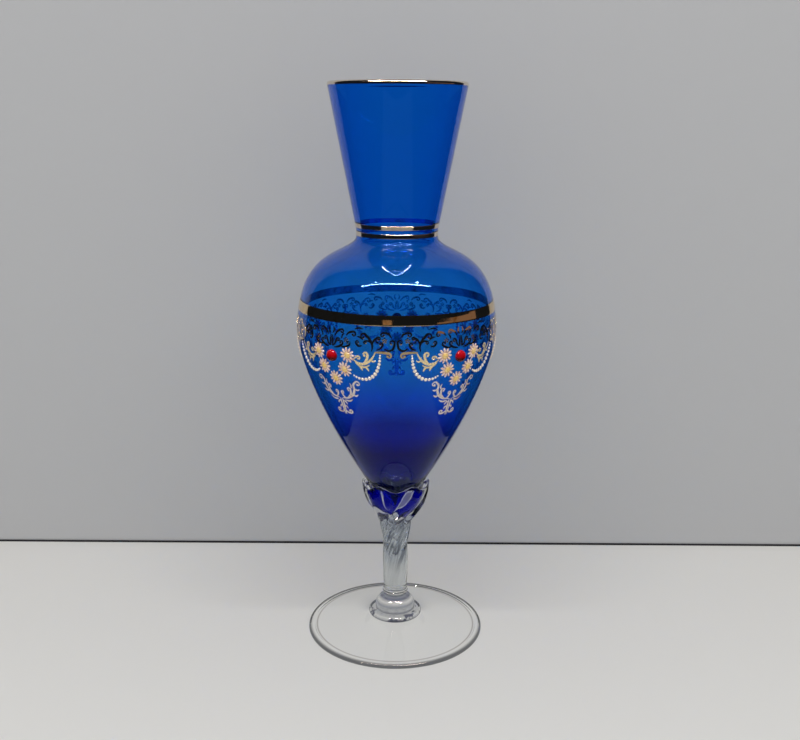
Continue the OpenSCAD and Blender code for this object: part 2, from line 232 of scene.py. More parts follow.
# The right half of a medallion's scrollwork, in mm from the cabochon: x along the glass, y straight up. A stroke
# has the points it runs through, its half width, and the radius of the curl that ends it: above 0 the curl
# turns left, below 0 right, and 0 is a plain end.
SCROLLS = {
    "acanthus": [
        ([(10.6, -0.6), (12.5, -2.0), (15.1, -2.3), (17.7, -1.0), (19.7, 1.2), (20.8, 3.1)], 0.62, 0),
        ([(11.4, -2.0), (13.2, -3.3), (15.5, -3.7), (17.8, -2.6)], 0.5, 0),
        ([(13.0, -3.3), (13.8, -4.3), (14.2, -5.4)], 0.5, 0),
        ([(15.8, -3.6), (16.6, -4.5), (17.0, -5.5)], 0.5, 0),
        ([(10.8, -0.3), (11.6, 0.3), (12.4, 0.9)], 0.42, -0.95),
        ([(15.0, -2.2), (16.6, -0.4), (17.3, 1.4)], 0.58, 1.25),
        ([(18.6, -0.4), (19.5, -0.9), (20.5, -0.7)], 0.42, 0),
    ],
    "bar": [([(20.4, 3.2), (23.6, 3.3), (26.4, 3.0)], 0.62, -1.2)],
    "frieze": [
        ([(19.2, 3.6), (19.5, 6.0), (18.3, 8.6), (16.4, 10.6)], 0.56, 1.4),
        ([(19.4, 6.6), (20.2, 8.4), (21.6, 9.6)], 0.48, -0.8),
        ([(18.8, 7.2), (17.6, 8.0), (16.4, 7.9)], 0.42, 0.75),
        ([(7.6, 9.6), (8.8, 10.9), (10.5, 11.4)], 0.52, -1.2),
        ([(15.0, 5.9), (13.5, 5.5), (12.4, 6.4)], 0.46, -0.9),
        ([(21.2, 4.2), (22.9, 4.9), (23.8, 6.2)], 0.46, 0.9),
        ([(24.6, 5.0), (26.5, 4.1), (28.3, 4.9), (28.9, 7.0)], 0.52, 1.3),
        ([(27.6, 9.4), (26.2, 11.2), (24.2, 11.7)], 0.5, 1.1),
        ([(11.4, 12.6), (13.2, 13.2), (15.2, 12.9)], 0.42, 0),
        ([(12.6, 9.6), (14.2, 9.2), (15.4, 8.2)], 0.4, 0),
        ([(22.4, 7.2), (21.4, 7.6), (20.9, 8.6)], 0.38, 0),
    ],
    "crest": [
        ([(0.5, 4.3), (0.6, 6.6), (0.3, 9.2)], 0.52, 0),
        ([(0.9, 4.4), (2.0, 5.8), (2.6, 7.4)], 0.5, -0.95),
        ([(1.4, 3.9), (3.6, 4.3), (5.4, 5.4)], 0.5, 1.0),
        ([(4.6, 4.7), (6.8, 4.5), (8.8, 5.4)], 0.48, 1.0),
        ([(1.8, 9.0), (3.0, 10.8), (4.8, 11.8)], 0.5, -1.0),
        ([(0.5, 9.8), (1.3, 11.2), (0.9, 12.8)], 0.44, 0),
        ([(5.2, 8.0), (5.6, 9.4), (6.6, 10.4)], 0.4, 0),
    ],
    "pendant": [
        ([(0.9, -20.2), (4.1, -19.6), (6.7, -17.9), (8.1, -15.4), (8.2, -12.9), (9.4, -11.4)], 0.58, -1.3),
        ([(3.8, -19.6), (5.7, -17.7), (6.2, -15.8)], 0.52, 1.05),
        ([(1.8, -21.0), (4.2, -21.2), (6.2, -20.1)], 0.44, 0),
        ([(6.9, -17.7), (8.3, -18.2), (9.6, -17.4)], 0.44, 0),
        ([(8.2, -14.5), (9.5, -15.2), (10.7, -14.8)], 0.42, 0),
        ([(2.8, -20.0), (1.6, -19.0), (1.0, -17.7)], 0.48, -0.85),
        ([(6.4, -14.9), (7.0, -13.6), (6.6, -12.2)], 0.4, 0),
        ([(0.5, -20.2), (0.6, -22.6), (0.5, -25.0), (0.3, -28.4)], 0.5, 0),
        ([(0.8, -21.4), (1.9, -22.0), (2.5, -23.1)], 0.46, 0),
        ([(0.7, -23.8), (1.7, -24.3), (2.1, -25.3)], 0.42, 0),
        ([(0.4, -26.3), (1.6, -27.3), (2.9, -27.4)], 0.52, 1.05),
    ],
}
# These two lie raised on a pale ground, each in its own gold, and the others are flat
RAISED_SCROLLS = {"acanthus": 1, "pendant": 2}
# Middles of the small gold flowers of the right half, in mm from the cabochon
GOLD_FLOWERS = [(24.6, 8.4), (7.4, 7.6)]


class Finishes(PropertyGroup):
    """The colours of the glass, gold and enamel."""

    # The body of the cobalt glass, and what each part of the vessel takes from it besides
    cobalt: colour("What the cobalt glass passes in its depth", "7CDEFD")
    cobalt_density: number("Strength of the cobalt, per metre", 1000)
    neck: colour("Tint of the neck", "8CDCF8")
    azure: colour("Tint of the shoulder and belly", "E2FAFF")
    marine: colour("Tint under the ornament", "D4ACFF")
    navy: colour("Tint above the collar", "E864A8")
    ultramarine: colour("Tint in the collar", "6C34D2")
    # Painted shade that darkens the cobalt glass towards its outline
    brink: colour("What the cobalt glass takes on towards the outline", "80806E")
    # Painted sheen of the air trapped between the collar and the bowl
    air: colour("Air between the collar and the bowl", "B8BCCA")
    glint: colour("Tint of what the cobalt glass mirrors", "5894E0")
    blue_glint: colour("Tint of what the clear glass over the cobalt mirrors", "6C84C8")
    clear: colour("Soda glass of the base, seen straight", "F6F8F7")
    # Painted shade of the soda glass seen at a slant and edge on
    edge: colour("Soda glass seen at a slant", "A4A8AC")
    painted_edge_on_shade: colour("Soda glass seen edge on", "34383C")
    gold: colour("Fired gold of the band and the scrollwork", "EBCFA2")
    worn_gold: colour("Fired gold where it is thin", "C49A5C")
    line_gold: colour("Fired gold of the rim and the neck lines", "E2D4C2")
    worn_line_gold: colour("The same where it is thin", "C0A88C")
    pale_gold: colour("Gold of the acanthus leaves, over its white ground", "FFE6B4")
    rose_gold: colour("Gold of the pendant, over its white ground", "F8E6DE")
    ruby: colour("Glass of the cabochons", "C00814")
    # Painted light and shade of a cabochon: lighter where light gathers, darker on its lower side
    ruby_light: colour("Where light gathers in a cabochon", "DC1C2C")
    ruby_dark: colour("Lower side of a cabochon", "4C0208")
    cream: colour("Enamel of the petals", "F6E0D2")
    blush: colour("Enamel at the edges of the petals", "D0A090")
    ochre: colour("Enamel of the daisies' middles", "EEC462")
    pearl: colour("Enamel of the swags", "F6ECD8")


class StudioSettings(PropertyGroup):
    """The floor, wall, lamp and camera."""

    floor: colour("Painted table", "E0DFDB")
    wall: colour("Plain wall behind the vase", "B9BABB")
    wall_distance: length("From the middle of the vase to the wall", 96 * MM)
    lamp_power: number("Power of the bar lamp, in watts", 6.6)
    lamp_length: length("Length of the bar lamp", 1460 * MM)
    lamp_width: length("Width of the bar lamp", 45 * MM)
    lamp_height: length("Height of the bar lamp above the table", 1180 * MM)
    lamp_ahead: length("How far the bar lamp hangs in front of the vase", 500 * MM)
    lamp_tilt: rotation("How far the bar lamp faces the vase", 20)
    sky: number("Strength of the soft light all round", 0.77)
    sensor: number("Width of the camera's sensor, in mm", 36)
    lens: number("Focal length, in mm", 45.89)
    shift: number("How far the picture is shifted up, as a share of its width", -0.05)
    camera_side: length("How far the camera stands to the right", 1.6 * MM)
    camera_distance: length("From the vase to the camera, level", 461 * MM)
    camera_height: length("Height of the lens above the table", 247.2 * MM)
    camera_pitch: rotation("How far the camera looks down", 12.11)
    camera_roll: rotation("How far the camera leans to its left", 0.35)


# Curves


def blend(start, end, share):
    """start + (end - start) x share."""
    return start + (end - start) * share


def polar(radius, angle):
    """Points at a distance and angle from the origin of a plane."""
    return np.stack([radius * np.cos(angle), radius * np.sin(angle)], axis=-1)


def bezier(a, b, c, d, steps):
    """Points of a cubic Bezier curve after its start: (1-t)^3 a + 3(1-t)^2 t b + 3(1-t) t^2 c + t^3 d."""
    t = np.linspace(0, 1, steps + 1)[1:, None]
    a, b, c, d = (np.asarray(p, float) for p in (a, b, c, d))
    return (1 - t) ** 3 * a + 3 * (1 - t) ** 2 * t * b + 3 * (1 - t) * t**2 * c + t**3 * d


def half_round(middle, radius, steps=12):
    """A half circle from below its middle, round the outside, to above it."""
    return np.asarray(middle) + polar(radius, np.linspace(-math.pi / 2, math.pi / 2, steps + 1))


def spaced(path, step):
    """The path with points put in so that none are further apart than step, for smooth shading of long runs."""
    rows = []
    for start, end in zip(path[:-1], path[1:]):
        parts = max(1, math.ceil(np.linalg.norm(end - start) / step))
        rows.append(blend(start, end, np.arange(parts)[:, None] / parts))
    return np.vstack([*rows, path[-1:]])


def run_along(path):
    """Length of the path up to each of its points."""
    return np.concatenate([[0], np.cumsum(np.linalg.norm(np.diff(path, axis=0), axis=1))])


def sides(path):
    """Unit vectors square to a path, to the right of its run, from the points before and after each."""
    run = np.empty_like(path)
    run[1:-1] = path[2:] - path[:-2]
    run[0], run[-1] = path[1] - path[0], path[-1] - path[-2]
    run /= np.linalg.norm(run, axis=1, keepdims=True)
    return np.stack([run[:, 1], -run[:, 0]], axis=1)


def lip_section(v):
    """Middle and radius of the section of the rounded lip, and how far the neck leans out."""
    radius = v.wall / 2
    lean = math.atan((v.rim_radius - v.waist_radius) / (v.rim - v.foot_of_bowl - v.bowl_height - v.waist_height))
    return np.array([v.rim_radius - radius, v.rim - v.gold - radius]), radius, lean


def vessel_sides(v):
    """The outer and the inner side of the vessel, as rows of radius and height.

    The outer side runs down from the lip: a straight cone, an upright waist, a hollow arc, one Bezier curve
    over the shoulder to the widest place, one from there to the bottom, and a rounded bottom. The inner side
    is the outer one moved in by the wall, which thickens towards the bottom.
    """
    waist = v.foot_of_bowl + v.bowl_height
    belly = v.foot_of_bowl + BELLY_AT * v.bowl_height
    middle, lip_radius, lean = lip_section(v)
    lip = middle + polar(lip_radius, -lean)
    hollow = np.linspace(0, math.pi / 2 - v.shoulder_slope, 9)[1:]
    arc = np.array([v.waist_radius + v.fillet, waist]) - polar(v.fillet, hollow)
    start, widest = arc[-1], np.array([v.belly_radius, belly])
    end = np.array([v.bottom_radius, v.foot_of_bowl + v.bottom_rise])
    near_start = start + polar((v.belly_radius - v.waist_radius) * SHOULDER_HANDLES[0], -v.shoulder_slope)
    shoulder = bezier(start, near_start, widest + [0, (waist - belly) * SHOULDER_HANDLES[1]], widest, 40)
    below = belly - v.foot_of_bowl
    near_end = end + polar(below * LOWER_HANDLES[1], v.bottom_slope)
    lower = bezier(widest, widest - [0, below * LOWER_HANDLES[0]], near_end, end, 96)
    corner = np.array([v.bottom_radius - v.bottom_rise / math.tan(v.bottom_slope), v.foot_of_bowl])
    lowest = np.array([0, v.foot_of_bowl])
    bottom = bezier(end, blend(end, corner, 2 / 3), blend(lowest, corner, 2 / 3), lowest, 14)
    neck = spaced(np.array([lip, [v.waist_radius, waist + v.waist_height], [v.waist_radius, waist]]), 1.5 * MM)
    outer = np.vstack([neck, arc, shoulder, lower, bottom])
    rise = np.clip((outer[:, 1] - v.foot_of_bowl) / (20.6 * MM), 0, 1)
    wall = blend(v.base, v.wall, np.sin(math.pi / 2 * rise))
    inner = outer + wall[:, None] * sides(outer)
    inner = inner[inner[:, 0] > lip_radius]
    return outer, np.vstack([inner, [0, v.foot_of_bowl + v.base]])


def bowl_radius(height):
    """Radius of the outside of the vessel at a height, read off its outer side."""
    outer, _ = vessel_sides(bpy.context.scene.vase_vessel)
    return np.interp(height, outer[::-1, 1], outer[::-1, 0])


# Surfaces


def outward(points, faces):
    """The faces, turned round if the volume that they close comes out negative."""
    faces = np.asarray(faces)
    corner = points[faces]
    volume = np.einsum("ij,ij->i", corner[:, 0], np.cross(corner[:, 1], corner[:, 2])).sum()
    if faces.shape[1] == 4:
        volume += np.einsum("ij,ij->i", corner[:, 0], np.cross(corner[:, 2], corner[:, 3])).sum()
    return faces if volume > 0 else faces[:, ::-1]


def make_piece(name, points, faces, materials, slot, stands_for=(), material_index=None, crease=math.radians(40)):
    """A smooth mesh object at the origin, riding on the vase and standing for its CAD nodes."""
    mesh = bpy.data.meshes.new(name)
    mesh.from_pydata(np.asarray(points).tolist(), [], [list(map(int, face)) for face in faces])
    mesh.validate()
    for material in materials:
        mesh.materials.append(material)
    if material_index is not None:
        mesh.polygons.foreach_set("material_index", np.asarray(material_index, np.int32))
    mesh.shade_smooth()
    mesh.set_sharp_from_angle(angle=crease)
    piece = bpy.data.objects.new(name, mesh)
    bpy.context.scene.collection.objects.link(piece)
    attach(piece, "root")
    if stands_for:
        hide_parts(*stands_for)
    # Clear glass hardly shades the table
    piece.visible_shadow = piece.visible_diffuse = slot != "clear_glass"
    return piece


def quads(rows, columns, closed=True, torus=False):
    """Corners of the quads over rows of points. Each row closes on itself unless it is open, and in a torus the
    last row joins the first."""
    row = np.arange(rows if torus else rows - 1)[:, None] * columns
    column = np.arange(columns if closed else columns - 1)
    after, above = (column + 1) % columns, (row + columns) % (rows * columns)
    corners = np.broadcast_arrays(row + column, row + after, above + after, above + column)
    return np.stack([corner.ravel() for corner in corners], 1)


def skin(rings, start=None, end=None):
    """Points and faces over rings of points that each close on themselves.

    Without pole points the last ring joins the first, as in a torus. With them each end is closed by a fan to
    its pole. A pole's triangles first have their last corner twice.
    """
    count, columns = rings.shape[:2]
    points = rings.reshape(-1, 3)
    if start is None:
        return points, outward(points, quads(count, columns, torus=True)).tolist()
    low, high = np.full(columns, len(points)), np.full(columns, len(points) + 1)
    points = np.vstack([points, start, end])
    column, last = np.arange(columns), (count - 1) * columns
    after = (column + 1) % columns
    under = np.stack([low, after, column, column], 1)
    over = np.stack([high, last + column, last + after, last + after], 1)
    faces = outward(points, np.vstack([quads(count, columns), under, over]))
    return points, [list(dict.fromkeys(face)) for face in faces.tolist()]


def round_rings(radius, height):
    """Rings of points at a radius and height for each row, and angle a: x = r sin a, y = -r cos a."""
    return np.stack(np.broadcast_arrays(radius * np.sin(ANGLES), -radius * np.cos(ANGLES), height), axis=-1)


def turn_profile(profile):
    """Rings of a profile of radius and height, spun about the upright axis."""
    return round_rings(profile[:, :1], profile[:, 1:])


def spun(profile):
    """Points and faces of a solid of revolution whose profile starts and ends on the axis."""
    start, end = profile[0], profile[-1]
    return skin(turn_profile(profile[1:-1]), [0, 0, start[1]], [0, 0, end[1]])


# Materials


def add(material, kind, inputs=None, stops=(), output=0, **settings):
    """Adds a node of a kind with its settings, and a ramp's stops as (place, colour) pairs in order, and returns
    one of its outputs; an input is a value, or the socket that feeds it."""
    node = material.node_tree.nodes.new(kind)
    for name, value in settings.items():
        setattr(node, name, value)
    for _ in stops[2:]:
        node.color_ramp.elements.new(0.5)
    if stops:
        for element, (place, shade) in zip(node.color_ramp.elements, stops):
            element.position, element.color = place, shade
    for name, value in (inputs or {}).items():
        if isinstance(value, bpy.types.NodeSocket):
            material.node_tree.links.new(value, node.inputs[name])
        else:
            node.inputs[name].default_value = value
    return node.outputs[output] if node.outputs else None


def new_material(name):
    """An empty node material."""
    material = bpy.data.materials.new(name)
    material.use_nodes = True
    material.node_tree.nodes.clear()
    return material


def textured_material(name):
    """An empty node material, and the place on the object that its textures read."""
    material = new_material(name)
    return material, add(material, "ShaderNodeTexCoord", output="Object")


def finish_material(material, surface, volume=None):
    """Links the shader to the material's output."""
    add(material, "ShaderNodeOutputMaterial", {"Surface": surface} | ({"Volume": volume} if volume else {}))
    return material


def height_share(material, place, low, high, at_low=0.0, at_high=1.0):
    """A value that runs from one to another between two heights, and stays level outside them."""
    height = add(material, "ShaderNodeSeparateXYZ", {"Vector": place}, output="Z")
    limits = {"From Min": low, "From Max": high, "To Min": at_low, "To Max": at_high}
    return add(material, "ShaderNodeMapRange", {"Value": height} | limits)


def uneven(material, place, size, detail, strength, depth):
    """Noise of a size in metres, and the surface's normal where that noise dents it by a depth."""
    noise = add(material, "ShaderNodeTexNoise", {"Vector": place, "Scale": 1 / size, "Detail": detail})
    dents = {"Height": noise, "Strength": strength, "Distance": depth}
    return noise, add(material, "ShaderNodeBump", dents)


def cobalt_tint(material, place, colours, v):
    """The colour of the cobalt glass by its height, and by the slant it is seen at: it lies thicker, and so
    deeper, at the foot of the bowl, and towards the outline it is darkened further as painted shade."""
    stops = (
        (11 * MM, colours.ultramarine),
        (22 * MM, colours.navy),
        (35 * MM, colours.navy),
        (46 * MM, colours.marine),
        (62 * MM, colours.azure),
        (110 * MM, colours.azure),
        (140 * MM, colours.neck),
    )
    stops = [(above / (v.rim - v.foot_of_bowl), shade) for above, shade in stops]
    share = height_share(material, place, v.foot_of_bowl, v.rim)
    tint = add(material, "ShaderNodeValToRGB", {"Fac": share}, stops)
    # Towards the outline the eye looks along the wall, and beyond the depth that the volume gives, the colour is
    # darkened there as painted shade: fully so under the ornament, and a little above it
    low, high = v.foot_of_bowl + 45 * MM, v.foot_of_bowl + 95 * MM
    most = height_share(material, place, low, high, 1.0, 0.2)
    facing = add(material, "ShaderNodeLayerWeight", {"Blend": 0.5}, output="Facing")
    along = add(
        material, "ShaderNodeMapRange", {"Value": facing, "From Min": 0.35, "From Max": 0.9, "To Max": most}
    )
    both = {MIX_FIRST: tint, MIX_SECOND: colours.brink}
    return add(material, "ShaderNodeMix", {MIX_SHARE: along} | both, **MULTIPLY, output=MIXED)


def cobalt_depth(colours):
    """What the depth of the cobalt glass takes from light: long ways through the wall come out deeper."""
    return {"Color": colours.cobalt, "Density": colours.cobalt_density}


def cobalt_glass(colours, v):
    """Blown cobalt glass, poured deeper and more violet at the foot of the bowl.

    Its colour comes from the metal oxide and from the thickness of the gather, so it runs from azure at the
    neck to violet navy below. The eye sees a clear, even tint with the faintest waver of hand-blown walls.
    """
    material, place = textured_material("Blown cobalt glass")
    # Walls blown by hand waver over about 18 mm
    _, waver = uneven(material, place, 18 * MM, 1.0, 0.05, 0.3 * MM)
    tint = cobalt_tint(material, place, colours, v)
    look = {"Base Color": tint, "Specular Tint": colours.glint, "Normal": waver}
    glass = add(material, "ShaderNodeBsdfPrincipled", POLISHED_GLASS | look)
    return finish_material(material, glass, add(material, "ShaderNodeVolumeAbsorption", cobalt_depth(colours)))


def cobalt_joint(colours, v):
    """Cobalt glass where the clear cup is fused onto it: no surface shows there, only the colour behind it, and
    drops of trapped air whose silvery sheen is painted as a pale surface."""
    material, place = textured_material("Fused joint in cobalt glass")
    # A wall has two surfaces, and each takes the root of the wall's colour
    half = add(material, "ShaderNodeGamma", {"Color": cobalt_tint(material, place, colours, v), "Gamma": 0.5})
    clear = add(material, "ShaderNodeBsdfTransparent", {"Color": half})
    # Painted sheen: the silvery reflection of the trapped air as a pale, half rough surface
    painted_air_sheen = add(material, "ShaderNodeBsdfPrincipled", {"Base Color": colours.air, "Roughness": 0.3})
    trapped = add(material, "ShaderNodeAttribute", attribute_name="trapped_air_sheen", output="Fac")
    mix = add(material, "ShaderNodeMixShader", {0: trapped, 1: clear, 2: painted_air_sheen})
    return finish_material(material, mix, add(material, "ShaderNodeVolumeAbsorption", cobalt_depth(colours)))


def soda_glass(name, colours, b, shades=None, glint=WHITE, edge_at=0.64):
    """Clear soda glass, worked hot. The eye sees only its edges, the lines that it bends, and the painted shade
    that a shades function draws in it. The edges darken with the slant they are seen at: painted shade for the
    dark of the room that they gather."""
    material, place = textured_material(name)
    facing = add(material, "ShaderNodeLayerWeight", {"Blend": 0.5}, output="Facing")
    # Painted shade: clear where the glass is seen straight, darker at a slant and darkest edge on
    stops = [(edge_at, colours.clear), ((edge_at + 1) / 2, colours.edge), (1.0, colours.painted_edge_on_shade)]
    tint = add(material, "ShaderNodeValToRGB", {"Fac": facing}, stops)
    if shades:
        both = {MIX_FIRST: tint, MIX_SECOND: shades(material, place, colours, b)}
        tint = add(material, "ShaderNodeMix", {MIX_SHARE: 1.0} | both, **MULTIPLY, output=MIXED)
    # Tooling marks on hot glass run a few millimetres
    _, marks = uneven(material, place, 6 * MM, 1.0, 0.2, 0.15 * MM)
    look = {"Base Color": tint, "Specular Tint": glint, "Normal": marks}
    return finish_material(material, add(material, "ShaderNodeBsdfPrincipled", POLISHED_GLASS | look))


def from_axis(material, place):
    """How far a place is from the upright axis."""
    level = add(material, "ShaderNodeVectorMath", {0: place, 1: (1, 1, 0)}, operation="MULTIPLY")
    return add(material, "ShaderNodeVectorMath", {0: level}, operation="LENGTH", output="Value")


def painted_foot_shade(material, place, colours, b):
    """Painted shade of the foot: a grey line along the groove, and a rolled edge that darkens outwards."""
    reach = 6 * MM
    inside = {"Value": from_axis(material, place), "From Min": b.foot_radius - reach, "From Max": b.foot_radius}
    share = add(material, "ShaderNodeMapRange", inside)
    stops = (
        (4.6 * MM, "FFFFFF"),
        (4.0 * MM, "867A74"),
        (3.4 * MM, "FFFFFF"),
        (1.9 * MM, "FFFFFF"),
        (1.2 * MM, "A8A6A4"),
        (0.6 * MM, "54565A"),
        (0, "3A3C40"),
    )
    stops = [(1 - from_edge / reach, linear(shade)) for from_edge, shade in stops]
    return add(material, "ShaderNodeValToRGB", {"Fac": share}, stops)


def painted_knop_shade(material, place, colours, b):
    """Painted shade of the knop, in bands by height, with dark streaks of painted shade round the edge of its
    disc.
    """
    low, high = b.foot_rise, node_top("knop")
    stops = (
        (0, "404458"),
        (1.2 * MM, "80848E"),
        (2.4 * MM, "E2E4E4"),
        (3.2 * MM, "5C6072"),
        (4.6 * MM, "BCC0C6"),
        (6.6 * MM, "8C92A0"),
        (8.0 * MM, "F4F4F4"),
        (9.2 * MM, "4A5068"),
        (10.6 * MM, "7C8290"),
        (11.5 * MM, "FFFFFF"),
    )
    stops = [(above / (high - low), linear(shade)) for above, shade in stops]
    bands = add(material, "ShaderNodeValToRGB", {"Fac": height_share(material, place, low, high)}, stops)
    # Painted streaks of shade round the disc's edge are about 3 mm long
    noise = add(material, "ShaderNodeTexNoise", {"Vector": place, "Scale": 1 / (3 * MM), "Detail": 2.0})
    stops = [(0.42, linear("3C3E58")), (0.52, linear("FFFFFF"))]
    streaks = add(material, "ShaderNodeValToRGB", {"Fac": noise}, stops)
    outer = {"Value": from_axis(material, place), "From Min": b.ball_radius, "From Max": b.ball_radius + 1 * MM}
    at_edge = add(material, "ShaderNodeMapRange", outer)
    both = {MIX_FIRST: bands, MIX_SECOND: streaks}
    return add(material, "ShaderNodeMix", {MIX_SHARE: at_edge} | both, **MULTIPLY, output=MIXED)


def painted_stem_shade(material, place, colours, b):
    """Painted shade of the stem: grey streaks that wind with its ribs, dense under the collar and faint above the
    knop.
    """
    h = height_share(material, place, node_bottom("twisted_stem"), node_top("twisted_stem"))
    squared = add(material, "ShaderNodeMath", {0: h, 1: 2.0}, operation="POWER")
    turn = {"Value": squared, "To Min": b.collar_twist + b.stem_twist, "To Max": b.collar_twist}
    back = {"Vector": place, "Angle": add(material, "ShaderNodeMapRange", turn)}
    unwound = add(material, "ShaderNodeVectorRotate", back, rotation_type="Z_AXIS")
    # A streak of painted shade is about 1 mm wide and ten times as long
    drawn = add(material, "ShaderNodeVectorMath", {0: unwound, 1: (1, 1, 0.1)}, operation="MULTIPLY")
    strands = {"Vector": drawn, "Scale": 1 / (1.6 * MM), "Detail": 2.0}
    noise = add(material, "ShaderNodeTexNoise", strands)
    stops = [(0.38, linear("646A7C")), (0.47, linear("BCC4D0")), (0.56, linear("ECF0F8"))]
    winding_shade = add(material, "ShaderNodeValToRGB", {"Fac": noise}, stops)
    upper = {"Value": h, "From Min": 0.3, "From Max": 0.5, "To Min": 0.3, "To Max": 1.0}
    dense = add(material, "ShaderNodeMapRange", upper)
    both = {MIX_FIRST: colours.clear, MIX_SECOND: winding_shade}
    return add(material, "ShaderNodeMix", {MIX_SHARE: dense} | both, **MULTIPLY, output=MIXED)


def fused_joint():
    """Where two pieces of hot glass are fused there is no surface, so this one is fully see-through."""
    material = new_material("Fused joint in clear glass")
    seam = add(material, "ShaderNodeBsdfPrincipled", {"Alpha": 0.0, "Specular IOR Level": 0.0})
    return finish_material(material, seam)


def fired_gold(name, body, worn, smoothest, roughest, metallic=1.0):
    """Bright fired gold, brushed on and burnished by the kiln: a mirror with faint brush marks and thin spots.
    Over a raised pale ground it is less of a mirror, and part of the ground shows."""
    material, place = textured_material(name)
    # Brush marks about 0.4 mm apart, and thin patches about 3 mm wide
    marks, normal = uneven(material, place, 0.8 * MM, 2.0, 0.1, 0.02 * MM)
    patches = add(material, "ShaderNodeTexNoise", {"Vector": place, "Scale": 1 / (3 * MM), "Detail": 3.0})
    worn_through = {"Value": patches, "From Min": 0.55, "From Max": 0.75}
    thin = add(material, "ShaderNodeMapRange", worn_through)
    tint = add(material, "ShaderNodeValToRGB", {"Fac": thin}, [(0.0, body), (1.0, worn)])
    brushed = {"Value": marks, "From Min": 0.3, "From Max": 0.7, "To Min": smoothest, "To Max": roughest}
    rough = add(material, "ShaderNodeMapRange", brushed)
    look = {"Base Color": tint, "Metallic": metallic, "Roughness": rough, "Normal": normal}
    return finish_material(material, add(material, "ShaderNodeBsdfPrincipled", look))


def ruby_glass(colours):
    """Pressed ruby glass, fire polished: a deep red that glows where light gathers in the dome, as painted light,
    and darkens on its lower side as painted shade.
    """
    material, place = textured_material("Pressed ruby glass")
    # Painted light and shade: light from above goes deep into the dome, so by the slope of its surface the upper
    # side is painted lighter and the lower side darker
    facing = add(material, "ShaderNodeNewGeometry", output="Normal")
    share = height_share(material, facing, -0.7, 0.9)
    stops = [(0.2, colours.ruby_dark), (0.5, colours.ruby), (0.85, colours.ruby_light)]
    depth = add(material, "ShaderNodeValToRGB", {"Fac": share}, stops)
    cloud = add(material, "ShaderNodeTexNoise", {"Vector": place, "Scale": 1 / (2 * MM), "Detail": 2.0})
    polish = {"Value": cloud, "From Min": 0.3, "From Max": 0.7, "To Min": 0.03, "To Max": 0.08}
    rough = add(material, "ShaderNodeMapRange", polish)
    look = {"Base Color": depth, "Transmission Weight": 0.2, "IOR": 1.52, "Specular Tint": colours.ruby_light}
    look |= {"Roughness": rough, "Coat Weight": 0.35, "Coat Roughness": 0.05}
    return finish_material(material, add(material, "ShaderNodeBsdfPrincipled", look))


def raised_enamel(name, body, edge, roughness):
    """Raised enamel paste, fired on: a glassy, slightly uneven opaque body, with a warmer tone in its hollows."""
    material, place = textured_material(name)
    # Grains and pooling of the paste show over about 0.7 mm
    grain, normal = uneven(material, place, 0.7 * MM, 3.0, 0.4, 0.05 * MM)
    tint = add(material, "ShaderNodeValToRGB", {"Fac": grain}, [(0.35, edge), (0.6, body)])
    look = {"Base Color": tint, "Roughness": roughness, "Normal": normal}
    look |= {"Coat Weight": 0.3, "Coat Roughness": 0.1}
    return finish_material(material, add(material, "ShaderNodeBsdfPrincipled", look))


def glow(name, tint, strength=1.0):
    """A lit or unlit surface of the stage, which nothing shades."""
    material = new_material(name)
    light = add(material, "ShaderNodeEmission", {"Color": tint, "Strength": strength})
    return finish_material(material, light)


# Pieces


def fused(flags):
    """Material index of each face of a spun or skinned solid, from one flag for each gap between its rings and
    one for each of its two fans."""
    return np.repeat(flags, COLUMNS)


def rib(b, a):
    """1 on a rib and 0 half way between two: (1 - cos(ribs x a)) / 2."""
    return (1 - np.cos(b.ribs * a)) / 2


def collar_lip(b, a):
    """Height, above the foot of the collar, of the middle of its rolled edge: it rises over the ribs and to
    the front."""
    return b.collar_height - b.frill_wave * (1 - rib(b, a)) + b.frill_lean * np.cos(a) - b.frill_edge / 2


